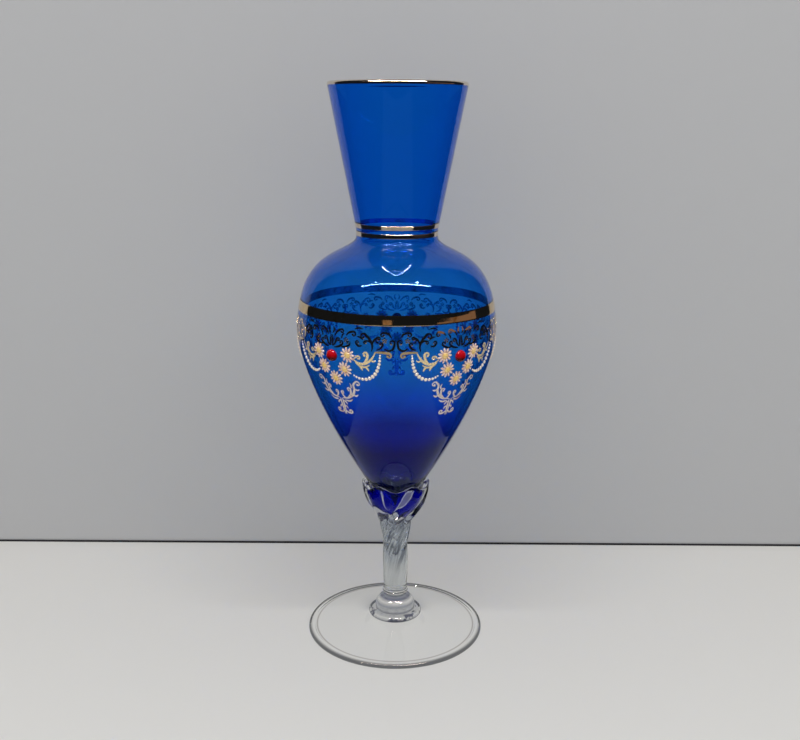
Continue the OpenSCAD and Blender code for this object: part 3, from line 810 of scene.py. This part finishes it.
class VASE_OT_vessel(Operator):
    """Blow the cobalt glass vessel"""

    bl_idname = "vase.vessel"
    bl_label = "Vessel"

    def execute(self, context):
        v = context.scene.vase_vessel
        outer, inner = vessel_sides(v)
        middle, lip_radius, lean = lip_section(v)
        lip = middle + polar(lip_radius, np.linspace(-lean, math.pi - lean, 13))
        profile = np.vstack([outer[:0:-1], lip, inner[1:]])
        points, faces = spun(profile)
        colours = context.scene.vase_finishes
        glass = [cobalt_glass(colours, v), cobalt_joint(colours, v)]
        # The clear cup holds the outside of the bowl nearly up to its wavy edge
        b = context.scene.vase_base
        between = (profile[1:-2, 1] + profile[2:-1, 1])[:, None] / 2
        outside = np.arange(len(between))[:, None] < len(outer) - 1
        a = (np.arange(COLUMNS) + 0.5) / COLUMNS * math.tau
        held = outside & (between < node_bottom("frilled_collar") + collar_lip(b, a) - b.frill_free)
        index = np.concatenate([held.ravel(), np.ones(COLUMNS), np.zeros(COLUMNS)])
        vessel = make_piece("blown_vessel", points, faces, glass, "cobalt_glass", ["vessel"], index)
        trapped = vessel.data.attributes.new("trapped_air_sheen", "FLOAT", "POINT")
        trapped.data.foreach_set("value", self.trapped_air_sheen(b, points))
        return {"FINISHED"}

    def trapped_air_sheen(self, b, points):
        """How much painted sheen the air trapped under the collar's lobes puts on the surface: 1 at the edge of a
        drop of air, as a painted highlight, 0.3 within it and 0 elsewhere.

        A drop lies on a rib between the shares 0.3 and 0.97 of the collar's height, where the rib's wave is
        over 1 - width sin(pi s^1.6) at share s of the drop's length. On one side of the vase the drops are
        full, and on the other they are mere lines.
        """
        t = (points[:, 2] - node_bottom("frilled_collar")) / b.collar_height
        a = np.arctan2(points[:, 0], -points[:, 1])
        lowest, highest, full, spread, line = 0.3, 0.97, 0.13, 0.26, 0.02
        s = np.clip((t - lowest) / (highest - lowest), 0, 1)
        width = (full + spread * np.sin(a)).clip(line)
        within = rib(b, a + b.collar_twist * (1 - t) ** 2) - 1 + width * np.sin(math.pi * s**1.6)
        # The painted highlight at the edge sets in over 0.02 of the wave, and from 0.05 to 0.11 it gives way to
        # the inside
        return np.clip(within / 0.02, 0, 1) * (1 - 0.7 * np.clip((within - 0.05) / 0.06, 0, 1))


class VASE_OT_base(Operator):
    """Work the clear glass foot, knop, twisted stem and frilled collar"""

    bl_idname = "vase.base"
    bl_label = "Foot, knop, stem and collar"

    def execute(self, context):
        b, v = context.scene.vase_base, context.scene.vase_vessel
        colours, joint = context.scene.vase_finishes, fused_joint()
        self.foot(b, [soda_glass("Clear glass, rolled edge", colours, b, painted_foot_shade), joint])
        self.knop(b, [soda_glass("Clear glass, pressed", colours, b, painted_knop_shade), joint])
        drawn = soda_glass("Clear glass, drawn and twisted", colours, b, painted_stem_shade, edge_at=0.5)
        self.stem(b, [drawn, joint])
        pincered = soda_glass("Clear glass, pincered", colours, b, glint=colours.blue_glint, edge_at=0.88)
        self.collar(b, v, [pincered, joint, drawn])
        return {"FINISHED"}

    def foot(self, b, glass):
        """A spun disc: a hollow under it, a flat resting ring, a rolled edge, a groove and a rising top."""
        edge = b.foot_edge / 2
        rest = b.foot_radius - b.foot_rest
        groove = np.array([b.foot_radius - b.foot_lip, b.foot_edge - b.foot_groove])
        span = groove[0] - b.disc_radius
        seat = b.disc_radius - b.disc / 2
        under = bezier([0, b.foot_kick], [rest * 0.41, b.foot_kick], [rest * 0.76, 0], [rest, 0], 40)
        top = bezier(
            groove,
            groove - [span * 0.35, -b.foot_groove],
            [groove[0] - span * 0.82, blend(groove[1], b.foot_rise, 0.35)],
            [b.disc_radius, b.foot_rise],
            40,
        )
        lip = half_round([b.foot_radius - edge, edge], edge, 16)
        brink = [groove[0] + b.foot_groove, b.foot_edge]
        middle = [[seat, b.foot_rise], [0, b.foot_rise]]
        profile = np.vstack([[[0, b.foot_kick]], under, lip, [brink, groove], top, middle])
        points, faces = spun(profile)
        # The underside lies on the table, so it mirrors nothing
        flags = [1] * len(under) + [0] * (len(profile) - 3 - len(under)) + [1, 1]
        make_piece("worked_foot", points, faces, glass, "clear_glass", ["foot"], fused(flags))

    def knop(self, b, glass):
        """A disc, a ball, a drawn-in neck and a bead, turned in one profile."""
        ball = b.foot_rise + b.disc
        height = node_top("knop") - ball
        disc = half_round([b.disc_radius - b.disc / 2, b.foot_rise + b.disc / 2], b.disc / 2)
        side = bezier(
            [b.ball_radius, ball],
            [b.ball_radius * 1.06, ball + height * 0.3],
            [b.ball_radius, ball + height * 0.5],
            [b.knop_neck, ball + height * 0.74],
            28,
        )
        bead = half_round([b.bead_radius - b.bead / 2, node_top("knop") - b.bead / 2], b.bead / 2)
        start, end = [[0, b.foot_rise]], [[0, node_top("knop")]]
        profile = np.vstack([start, disc, [[b.ball_radius, ball]], side, bead, end])
        points, faces = spun(profile)
        flags = [0] * (len(profile) - 3) + [1, 1]
        make_piece("worked_knop", points, faces, glass, "clear_glass", ["knop"], fused(flags))

    def stem(self, b, glass):
        """A fluted rod whose flutes wind quickly under the collar and run straight above the knop.

        Over the ribs the radius is r + (top - r) h^4 - tuck (1 - h)^8 at share h of the height, the flutes
        deepen with h^2, and the ribs have turned by the twist times 1 - h^2.
        """
        low, high = node_bottom("twisted_stem"), node_top("twisted_stem")
        h = np.linspace(0, 1, 57)[:, None]
        over_ribs = b.stem_radius + (b.stem_top - b.stem_radius) * h**4 - b.stem_tuck * (1 - h) ** 8
        depth = blend(b.flute_end, b.flute, h**2)
        turned = -b.collar_twist - b.stem_twist * (1 - h**2)
        # Fine drawn lines run between the ribs, three to a rib
        lines = b.draw_line * h**1.5 * (1 - rib(b, 3 * (ANGLES - turned)))
        radius = over_ribs - depth * (1 - rib(b, ANGLES - turned)) - lines
        rings = round_rings(radius, blend(low, high, h))
        points, faces = skin(rings, [0, 0, low], [0, 0, high])
        flags = [0] * (len(rings) - 1) + [1, 1]
        make_piece("worked_stem", points, faces, glass, "clear_glass", ["twisted_stem"], fused(flags))

    def collar(self, b, v, glass):
        """Six lobes that open from the stem's ribs and cup the bowl, their edge pincered into a wave.

        A lobe's side is a Bezier curve in radius and height for each angle, less the depth of the folds
        between the ribs; its edge rises over the ribs and to the front. Inside, the wall follows the bowl.
        """
        low = node_bottom("frilled_collar")
        edge_radius = bowl_radius(low + b.collar_height + b.frill_lean) + b.frill_gap + b.frill_edge
        u = np.linspace(0, 1, 41)[:, None]
        # How far out and up the two handles of a side reach, as shares of its edge
        first, second = 3 * (1 - u) ** 2 * u, 3 * (1 - u) * u**2
        out, up = first * 0.6 + second * 1.04 + u**3, first * 0.25 + second * 0.475 + u**3
        gaps = 1 - rib(b, ANGLES + b.collar_twist * (1 - u) ** 2)
        folds = blend(b.flute, b.frill_depth, u) * gaps + b.crease * np.sin(math.pi * u) * gaps**4
        radius = (1 - u) ** 3 * b.stem_top + edge_radius * out - folds
        height = low + collar_lip(b, ANGLES) * up
        # The edge rolls over in a half circle, as wide as the edge is thick
        roll, half = np.linspace(0, math.pi, 9)[1:, None], b.frill_edge / 2
        edge = radius[-1] - half + half * np.cos(roll)
        edge_height = height[-1] + half * np.sin(roll)
        # Inside, the wall leaves the edge upright and then closes in on the bowl
        gap, seat = edge[-1] - bowl_radius(height[-1]), v.foot_of_bowl + b.seat
        w = np.linspace(0, 1, 9)[:, None]
        free_height = blend(height[-1], height[-1] - b.frill_free, w[2::2] / w[-1])
        cup_height = np.vstack([free_height, blend(free_height[-1], seat, w[1:])])
        cup = bowl_radius(cup_height) + blend(gap, TIGHT, (height[-1] - cup_height) / (height[-1] - seat))
        outer, _ = vessel_sides(v)
        below = outer[outer[:, 1] < seat - 2 * TIGHT][:-1]
        below = below - TIGHT * sides(below)
        seat_radius, seat_height = (np.repeat(column[:, None], COLUMNS, axis=1) for column in below.T)
        heights = np.vstack([height, edge_height, cup_height, seat_height])
        rings = round_rings(np.vstack([radius, edge, cup, seat_radius]), heights)
        points, faces = skin(rings, [0, 0, low], [0, 0, v.foot_of_bowl - TIGHT])
        # The lowest quarter is still drawn like the stem
        outside, drawn = len(radius) + len(edge) - 1, len(radius) // 4
        flags = [2] * drawn + [0] * (outside - drawn) + [1] * (len(rings) - 1 - outside) + [1, 1]
        make_piece("frilled_cup", points, faces, glass, "clear_glass", ["frilled_collar"], fused(flags))


class VASE_OT_gilt_lines(Operator):
    """Gild the rim, the two neck lines and the shoulder band"""

    bl_idname = "vase.gilt_lines"
    bl_label = "Rim gold, neck lines and band"

    def execute(self, context):
        v = context.scene.vase_vessel
        colours = context.scene.vase_finishes
        gold = fired_gold("Bright fired gold", colours.gold, colours.worn_gold, 0.03, 0.1)
        fine = fired_gold("Fired gold of the fine lines", colours.line_gold, colours.worn_line_gold, 0.05, 0.12)
        for node, metal in (("neck_line_upper", fine), ("neck_line_lower", fine), ("shoulder_band", gold)):
            self.line(node, v.gold, metal)
        self.rim(v, fine)
        return {"FINISHED"}

    def line(self, node, thickness, gold):
        """A flat line of gold over its node's height: it follows the glass, and its edges thin out."""
        low, high = node_bottom(node), node_top(node)
        height = np.linspace(low, high, 15)
        path = np.stack([bowl_radius(height), height], 1)
        away, thinning = sides(path), 0.15 * MM
        from_edge = np.minimum(height - low, high - height)
        proud = thickness * np.sqrt(np.clip(from_edge / thinning, 0.04, 1))
        front = path + away * proud[:, None]
        back = path - away * GOLD_SUNK
        points, faces = skin(turn_profile(np.vstack([front, back[::-1]])))
        make_piece("gilt_" + node, points, faces, [gold], "gilding", [node], crease=math.radians(60))

    def rim(self, v, gold):
        """Gold over the rounded lip and a little way down its outside, of an even thickness."""
        middle, lip_radius, lean = lip_section(v)
        turn = np.linspace(-lean, math.pi - lean, 17)
        down = np.array([-math.sin(lean), -math.cos(lean)]) * v.rim_run
        inside = middle + polar(lip_radius - GOLD_SUNK, turn)
        outside = middle + polar(lip_radius + v.gold, turn)
        profile = np.vstack([inside[0] + down, inside, outside[::-1], outside[0] + down])
        points, faces = skin(turn_profile(profile))
        make_piece("gilt_rim", points, faces, [gold], "gilding", ["rim_gilding"])


def on_bowl(medallion, x, y, proud):
    """Points on the bowl for one medallion: x along the glass from the cabochon, y straight up from it, and
    proud out of the glass. The angle is the medallion's plus x over the radius at that height."""
    v, o = bpy.context.scene.vase_vessel, bpy.context.scene.vase_ornament
    height = v.foot_of_bowl + BELLY_AT * v.bowl_height - o.jewel_drop + y
    radius = bowl_radius(height)
    slope = (bowl_radius(height - v.wall) - bowl_radius(height + v.wall)) / (2 * v.wall)
    lean = np.arctan(slope)
    apart = (math.tau - o.front_gap) / (MEDALLIONS - 1)
    angle = o.front_gap / 2 + (medallion - 1) * apart + x / radius
    out = radius + proud * np.cos(lean)
    return np.stack([out * np.sin(angle), -out * np.cos(angle), height + proud * np.sin(lean)], axis=-1)


def domes(places, half_lengths, half_widths, turns, heights, rings=5, columns=12):
    """Closed domes lying on a plane, all at once: local x, y and height of each dome's points, and their faces.

    A dome is an ellipse of the half length and half width, turned about its place. It rises as the upper half
    of an ellipsoid, height x cos t at share sin t of its radius, and its flat underside is sunk a little. Each
    size is one value for all domes or a value for each.
    """
    places = np.asarray(places, float)
    sizes = (half_lengths, half_widths, turns, heights)
    long, wide, turn, high = (np.broadcast_to(size, len(places))[:, None] for size in sizes)
    t = np.linspace(math.pi / 2, 0, rings + 1)[:-1]
    share, rise = np.append(1.0, np.sin(t)), np.append(0.0, np.cos(t))
    ring = polar(share[:, None], evenly_round(columns)).reshape(-1, 2)
    along, across = np.vstack([ring, [0, 0], [0, 0]]).T
    rise = np.concatenate([np.repeat(rise, columns), [0.0, 1.0]])
    x = places[:, :1] + long * along * np.cos(turn) - wide * across * np.sin(turn)
    y = places[:, 1:] + long * along * np.sin(turn) + wide * across * np.cos(turn)
    z = high * rise
    under = np.append(np.arange(columns), len(rise) - 2)
    z[:, under] = -DOME_SUNK
    column, count, last = np.arange(columns), (rings + 1) * columns, rings * columns
    after = (column + 1) % columns
    underside = np.stack([np.full(columns, count), after, column], 1)
    crown = np.stack([np.full(columns, count + 1), last + column, last + after], 1)
    offsets = np.arange(len(places))[:, None, None] * (count + 2)
    faces = []
    for pattern in (quads(rings + 1, columns), underside, crown):
        faces += (pattern + offsets).reshape(-1, pattern.shape[1]).tolist()
    return np.stack([x, y, z], -1).reshape(-1, 3), faces


def set_round(name, node, local, faces, materials, slot, index=None):
    """The same piece on each medallion, numbered, which stands for the node with its number if there is one."""
    for m in range(1, MEDALLIONS + 1):
        stands_for = [f"{node}_{m}"] if node else ()
        make_piece(f"{name}_{m}", on_bowl(m, *local.T), faces, materials, slot, stands_for, index)


def daisy_step(o):
    """Turn about the cabochon from one daisy to the next."""
    return 2 * math.asin((o.daisy_radius + o.daisy_gap / 2) / o.side_reach)


def daisy_places(o):
    """Middles of a medallion's five daisies: two at each side, the lower ones a daisy's width round the
    cabochon from the upper ones, and one below."""
    high = polar(o.side_reach, o.daisy_lift)
    low = polar(o.side_reach, o.daisy_lift - daisy_step(o))
    flip = np.array([-1, 1])
    return np.array([high, high * flip, low, low * flip, [0, -o.low_reach]])


class VASE_OT_cabochons(Operator):
    """Set a ruby glass cabochon in each medallion"""

    bl_idname = "vase.cabochons"
    bl_label = "Cabochons"

    def execute(self, context):
        o = context.scene.vase_ornament
        ruby = ruby_glass(context.scene.vase_finishes)
        r = o.jewel_radius
        local, faces = domes([[0, 0]], r, r, 0, o.jewel_height, rings=12, columns=40)
        set_round("cabochon", "jewel", local, faces, [ruby], "ruby_glass")
        return {"FINISHED"}


class VASE_OT_daisies(Operator):
    """Lay the raised enamel daisies"""

    bl_idname = "vase.daisies"
    bl_label = "Daisies"

    def execute(self, context):
        o, colours = context.scene.vase_ornament, context.scene.vase_finishes
        petal = raised_enamel("Raised cream enamel", colours.cream, colours.blush, 0.3)
        eye = raised_enamel("Raised ochre enamel", colours.ochre, colours.gold, 0.35)
        middles = daisy_places(o)
        turn = evenly_round(o.petals)
        # A petal starts a little under the eye, and takes most of its share of the ring
        inner = 0.75 * o.eye_radius
        reach, half = (o.daisy_radius + inner) / 2, (o.daisy_radius - inner) / 2
        wide = 0.4 * math.tau * reach / o.petals
        places = (middles[:, None] + polar(reach, turn)).reshape(-1, 2)
        petals, petal_faces = domes(places, half, wide, np.tile(turn, len(middles)), o.petal_height, rings=4)
        eyes, eye_faces = domes(middles, o.eye_radius, o.eye_radius, 0, o.eye_height, columns=18)
        local, faces = joined([(petals, petal_faces), (eyes, eye_faces)])
        index = [0] * len(petal_faces) + [1] * len(eye_faces)
        set_round("enamel_daisies", "daisies", local, faces, [petal, eye], "enamel", index)
        return {"FINISHED"}


def swag_places(o):
    """Middles and radii of a right-hand swag's pearls, strung along a Bezier curve so that each touches the
    next but for the gap; they swell from half size to full and back."""
    w = o.swag_width
    start = polar(o.side_reach, o.daisy_lift - daisy_step(o))
    start = start + polar(o.daisy_radius + 2 * o.pearl_gap + 0.025 * w, math.radians(-30))
    path = np.vstack([start, bezier(start, start + [0.2 * w, -0.16 * w], [0.95 * w, -0.4 * w], [w, 0.1 * w], 96)])
    run = run_along(path)
    weights = blend(0.5, 1, np.sin(math.pi * np.arange(o.pearls) / (o.pearls - 1)))
    unit = (run[-1] - (o.pearls - 1) * o.pearl_gap) / 2 / weights.sum()
    radii = unit * weights
    at = 2 * np.cumsum(radii) - radii + np.arange(o.pearls) * o.pearl_gap
    return np.stack([np.interp(at, run, path[:, 0]), np.interp(at, run, path[:, 1])], 1), radii


class VASE_OT_pearls(Operator):
    """String the enamel pearl swags"""

    bl_idname = "vase.pearls"
    bl_label = "Pearl swags"

    def execute(self, context):
        o, colours = context.scene.vase_ornament, context.scene.vase_finishes
        enamel = raised_enamel("Raised pearl enamel", colours.pearl, colours.cream, 0.25)
        places, radii = swag_places(o)
        places = np.vstack([places, places * [-1, 1]])
        radii = np.tile(radii, 2)
        local, faces = domes(places, radii, radii, 0, radii * 0.8, rings=4)
        set_round("enamel_pearls", "pearl_swags", local, faces, [enamel], "enamel")
        return {"FINISHED"}


def smooth(points, steps=6):
    """A Catmull-Rom curve through points: between p1 and p2 it is the cubic whose ends run along (p2 - p0) / 2
    and (p3 - p1) / 2, as a Bezier curve with a sixth of those runs between its points."""
    p = np.vstack([2 * points[0] - points[1], points, 2 * points[-1] - points[-2]])
    spans = [bezier(b, b + (c - a) / 6, c - (d - b) / 6, c, steps) for a, b, c, d in zip(p, p[1:], p[2:], p[3:])]
    return np.vstack([points[:1], *spans])


def curled(path, radius, turn, steps=18):
    """The path with a spiral that carries on from its end: over the turn its radius falls by two thirds."""
    run = path[-1] - path[-2]
    t = (np.arange(steps) + 0.5) / steps
    heading = math.atan2(run[1], run[0]) + math.copysign(turn, radius) * t
    reach = turn / steps * abs(radius) * (1 - 2 / 3 * t)
    return np.vstack([path, path[-1] + np.cumsum(polar(reach, heading), axis=0)])


def brush_stroke(path, half_width, level, s):
    """Rings of a brushed stroke: a thin ribbon, level over a share of its width, that swells and thins along its
    run, half width x (0.35 + 0.65 sin(pi t^0.8)) at share t of its length."""
    run = run_along(path)
    width = half_width * (0.35 + 0.65 * np.sin(math.pi * (run / run[-1]) ** 0.8))
    across = np.array([-1, -level, 0, level, 1])
    rise = np.array([-s.sunk, s.relief, s.relief, s.relief, -s.sunk])
    flat = path[:, None] + sides(path)[:, None] * (width[:, None] * across)[..., None]
    return np.concatenate([flat, np.broadcast_to(rise, flat.shape[:2])[..., None]], axis=2)


def joined(parts):
    """Points and faces of many solids as those of one."""
    points, faces, count = [], [], 0
    for part, part_faces in parts:
        points.append(part)
        faces += [[corner + count for corner in face] for face in part_faces]
        count += len(part)
    return np.vstack(points), faces


class VASE_OT_scrolls(Operator):
    """Brush the gold scrollwork round the cabochons"""

    bl_idname = "vase.scrolls"
    bl_label = "Gilt scrollwork"

    def execute(self, context):
        s, colours = context.scene.vase_scrolls, context.scene.vase_finishes
        gold = [
            fired_gold("Brushed bright gold", colours.gold, colours.worn_gold, 0.02, 0.07),
            fired_gold("Raised pale gold", colours.pale_gold, colours.gold, 0.2, 0.35, metallic=0.4),
            fired_gold("Raised rose gold", colours.rose_gold, colours.blush, 0.25, 0.4, metallic=0.4),
        ]
        drawn = {"flowers": self.flowers(s)}
        for group, strokes in SCROLLS.items():
            drawn[group] = self.strokes(strokes, s.raised_level if group in RAISED_SCROLLS else s.flat_level, s)
        local, faces = joined(drawn.values())
        index = sum(([RAISED_SCROLLS.get(group, 0)] * len(part[1]) for group, part in drawn.items()), [])
        set_round("gilt_scrolls", None, local, faces, gold, "gilding", index)
        return {"FINISHED"}

    def strokes(self, strokes, level, s):
        """Strokes and their mirror images, with a bead in the middle of each curl."""
        parts, beads, bead_radii = [], [], []
        for points, half_width, radius in strokes:
            path = smooth(np.array(points) * MM)
            if radius:
                path = curled(path, radius * MM, s.curl_turn)
                beads += [path[-1], path[-1] * [-1, 1]]
                bead_radii += [half_width * MM] * 2
            for side in (path, path * [-1, 1]):
                rings = brush_stroke(side, half_width * MM, level, s)
                parts.append(skin(rings, [*side[0], 0], [*side[-1], 0]))
        if beads:
            parts.append(domes(beads, bead_radii, bead_radii, 0, s.relief))
        return joined(parts)

    def flowers(self, s):
        """Small flowers, each of a ring of petals round a bead."""
        turn, r = evenly_round(s.flower_petals) + math.pi / 2, s.flower_radius
        right = np.array(GOLD_FLOWERS) * MM
        middles = np.vstack([right, right * [-1, 1]])
        places = (middles[:, None] + polar(0.62 * r, turn)).reshape(-1, 2)
        petals = domes(places, 0.38 * r, 0.3 * r, np.tile(turn, len(middles)), s.relief, rings=3, columns=10)
        return joined([petals, domes(middles, 0.22 * r, 0.22 * r, 0, s.relief, rings=3, columns=10)])


class VASE_OT_studio(Operator):
    """Set out the floor, wall, lamp, sky and camera"""

    bl_idname = "vase.studio"
    bl_label = "Studio"

    def execute(self, context):
        s = context.scene.vase_studio
        self.floor(s)
        self.wall(s)
        self.dark_room(s.wall_distance)
        self.lamp(s)
        self.fittings()
        self.sky(context, s)
        self.camera(context, s)
        context.scene.view_settings.view_transform = "Standard"
        return {"FINISHED"}

    def surface(self, name, points, faces, material, only_in_gloss=False):
        """A surface of the stage, in metres."""
        mesh = bpy.data.meshes.new(name)
        mesh.from_pydata(np.asarray(points).tolist(), [], np.asarray(faces).tolist())
        mesh.materials.append(material)
        piece = bpy.data.objects.new(name, mesh)
        bpy.context.scene.collection.objects.link(piece)
        if only_in_gloss:
            piece.visible_camera = piece.visible_diffuse = False
            piece.visible_shadow = piece.visible_transmission = False
        return piece

    def sheet(self, name, start, end, material, only_in_gloss=False):
        """A flat sheet between two opposite corners, level or upright, whose lower or nearer edge is level."""
        (x1, y1, z1), (x2, y2, z2) = start, end
        corners = [(x1, y1, z1), (x2, y1, z1), (x2, y2, z2), (x1, y2, z2)]
        return self.surface(name, corners, [[0, 1, 2, 3]], material, only_in_gloss)

    def paint(self, name, tint, roughness):
        """Matt paint with a faint unevenness."""
        material, place = textured_material(name)
        _, grain = uneven(material, place, 4 * MM, 2.0, 0.1, 0.05 * MM)
        look = {"Base Color": tint, "Roughness": roughness, "Normal": grain}
        return material, add(material, "ShaderNodeBsdfPrincipled", look)

    def floor(self, s):
        """The table. Gloss mirrors a narrower one than the eye and the light meet."""
        material, shader = self.paint("Painted table", s.floor, 0.6)
        finish_material(material, shader)
        # Just under the foot, so that the two surfaces don't lie in each other
        near, far, top = -0.66, 1.2, -0.05 * MM
        for name, side, in_gloss in (("table", 0.75, False), ("table_in_gloss", 0.28, True)):
            table = self.sheet(name, (-side, near, top), (side, far, top), material, in_gloss)
            table.visible_glossy = in_gloss
        # A dark sheet paints the shadow in the gap between the table and the wall
        gap = new_material("Shaded gap")
        dark = add(gap, "ShaderNodeBsdfPrincipled", {"Base Color": linear("1C2028"), "Roughness": 0.9})
        finish_material(gap, dark)
        y = s.wall_distance - 0.5 * MM
        self.sheet("painted_shadow_behind_table", (-WALL_SIDE, y, 0), (WALL_SIDE, y, 1.2 * MM), gap)

    def wall(self, s):
        """A plain wall that only its front shows, so that the views from behind look through it."""
        material, shader = self.paint("Painted wall", s.wall, 0.8)
        back = add(material, "ShaderNodeNewGeometry", output="Backfacing")
        clear = add(material, "ShaderNodeBsdfTransparent")
        mix = add(material, "ShaderNodeMixShader", {0: back, 1: shader, 2: clear})
        finish_material(material, mix)
        y = s.wall_distance
        self.sheet("wall", (-WALL_SIDE, y, 0), (WALL_SIDE, y, WALL_TOP), material)

    def dark_room(self, wall_at):
        """The unlit room in front and above, with lit wood to the right, which only shows in glass and gold."""
        unlit = glow("Unlit room", linear("161A22"))
        self.shell("unlit_room", (-115, 115), (-60, 50), ROOM, unlit)
        self.shell("lit_wood", (46, 108), (-2, 8), NEARER, glow("Lit wood", linear("7C6458")))
        self.shell("lit_wood_small", (-15, -5), (7, 11), NEARER, glow("Lit wood, small", linear("967860")))
        self.shell("unlit_ceiling", (-180, 180), (50, 90), ROOM, unlit).visible_transmission = True
        # Gloss mirrors less of the wall and the table than the eye sees
        y, above = wall_at - 1 * MM, -0.02 * MM
        for name, start, end in (
            ("dark_wall_left", (-0.21, y, 0), (-WALL_SIDE, y, WALL_TOP)),
            ("dark_wall_right", (0.15, y, 0), (WALL_SIDE, y, WALL_TOP)),
            ("dark_wall_low_left", (-0.07, y, 0), (-0.21, y, 0.11)),
            ("dark_wall_low_right", (0.07, y, 0), (0.15, y, 0.11)),
            ("dark_table_left", (-0.11, -0.1, above), (-WALL_SIDE, y, above)),
            ("dark_table_right", (0.11, -0.1, above), (WALL_SIDE, y, above)),
        ):
            self.sheet(name, start, end, unlit, only_in_gloss=True)

    def shell(self, name, turns, lifts, reach, material):
        """Part of a ball round the vase, between two turns from the front and two lifts in degrees."""
        angle = np.radians(np.linspace(*turns, 41))
        lift = np.radians(np.linspace(*lifts, 19))[:, None]
        out, height = reach * np.cos(lift), ROOM_MIDDLE + reach * np.sin(lift)
        points = np.stack(np.broadcast_arrays(out * np.sin(angle), -out * np.cos(angle), height), axis=-1)
        faces = quads(*points.shape[:2], closed=False)
        return self.surface(name, points.reshape(-1, 3), faces, material, only_in_gloss=True)

    def lamp(self, s):
        """A bar lamp across the ceiling in front of the vase."""
        data = bpy.data.lights.new("bar_lamp", "AREA")
        data.shape, data.size, data.size_y = "RECTANGLE", s.lamp_length, s.lamp_width
        data.energy = s.lamp_power
        lamp = bpy.data.objects.new("bar_lamp", data)
        lamp.location = (0, -s.lamp_ahead, s.lamp_height)
        lamp.rotation_euler = (-s.lamp_tilt, 0, 0)
        # Else stray spots of it show deep in the blue glass
        lamp.visible_transmission = False
        bpy.context.scene.collection.objects.link(lamp)

    def fittings(self):
        """The warm fittings of the lamp, which the gloss of the shoulder mirrors: level strips that glow only for
        gloss, as painted highlights, through points across and back, each with its height and width, in metres,
        and the strength of its glow."""
        shade = [(-0.75, -0.46), (-0.35, -0.495), (0, -0.52), (0.35, -0.515), (0.75, -0.48)]
        # Small and near, in place of large and far, since the real shoulder is a little flatter here
        arms = [(-0.0101, -0.0243), (-0.0068, -0.0306), (-0.0038, -0.0355), (-0.0001, -0.0384)]
        arms += [(0.0032, -0.0359), (0.0056, -0.0315), (0.0085, -0.0244)]
        for name, points, height, width, strength in (
            ("lamp_shade", shade, 1.19, 0.06, 110),
            ("lamp_bulb_left", [(-0.41, -0.38), (-0.35, -0.38)], 1.185, 0.1, 250),
            ("lamp_bulb_right", [(0.34, -0.39), (0.4, -0.39)], 1.185, 0.1, 250),
            ("lamp_arms", arms, 0.2, 0.0005, 120),
            # Unlit, so that the neck above doesn't mirror the arms
            ("top_of_lamp_arms", arms, 0.20005, 0.0016, 0.02),
        ):
            path = np.array(points)
            across = sides(path) * width / 2
            edges = np.vstack([path + across, path - across])
            level = np.column_stack([edges, np.full(len(edges), height)])
            warm = glow("Glow of the " + name, (1, 0.8, 0.7, 1), strength)
            self.surface(name, level, quads(2, len(path), closed=False), warm, only_in_gloss=True)

    def sky(self, context, s):
        """Even soft light from all round."""
        world = bpy.data.worlds.new("Soft sky")
        context.scene.world = world
        world.use_nodes = True
        background = world.node_tree.nodes["Background"]
        background.inputs["Color"].default_value = linear("F2F4F6")
        background.inputs["Strength"].default_value = s.sky

    def camera(self, context, s):
        """The photo's camera, which looks down a little and leans a little."""
        data = bpy.data.cameras.new("camera")
        data.sensor_width, data.lens, data.shift_y = s.sensor, s.lens, s.shift
        data.clip_start, data.clip_end = 0.01, 20
        camera = bpy.data.objects.new("camera", data)
        camera.location = (s.camera_side, -s.camera_distance, s.camera_height)
        pitch = Matrix.Rotation(math.pi / 2 - s.camera_pitch, 4, "X")
        camera.rotation_euler = (pitch @ Matrix.Rotation(s.camera_roll, 4, "Z")).to_euler()
        context.scene.collection.objects.link(camera)
        context.scene.camera = camera


class VASE_PT_panel(Panel):
    """Lists the steps that make the vase"""

    bl_idname = "VASE_PT_panel"
    bl_label = "Gilt Glass Vase"
    bl_space_type = "VIEW_3D"
    bl_region_type = "UI"
    bl_category = "Vase"

    def draw(self, context):
        for step in STEPS:
            self.layout.operator(step.bl_idname)


GROUPS = {
    "vase_vessel": VesselSizes,
    "vase_base": BaseSizes,
    "vase_ornament": OrnamentSizes,
    "vase_scrolls": ScrollSizes,
    "vase_finishes": Finishes,
    "vase_studio": StudioSettings,
}
STEPS = (
    VASE_OT_vessel,
    VASE_OT_base,
    VASE_OT_gilt_lines,
    VASE_OT_cabochons,
    VASE_OT_daisies,
    VASE_OT_pearls,
    VASE_OT_scrolls,
    VASE_OT_studio,
)


def register():
    for group in GROUPS.values():
        for name, made in group.__annotations__.items():
            made.keywords["name"] = name.replace("_", " ").capitalize()
    for group in (*GROUPS.values(), *STEPS, VASE_PT_panel):
        bpy.utils.register_class(group)
    for name, group in GROUPS.items():
        setattr(bpy.types.Scene, name, PointerProperty(type=group))


def unregister():
    for name in GROUPS:
        delattr(bpy.types.Scene, name)
    for group in reversed((*GROUPS.values(), *STEPS, VASE_PT_panel)):
        bpy.utils.unregister_class(group)


def main():
    register()
    for step in STEPS:
        group, name = step.bl_idname.split(".")
        getattr(getattr(bpy.ops, group), name)()


if __name__ == "__main__":
    main()
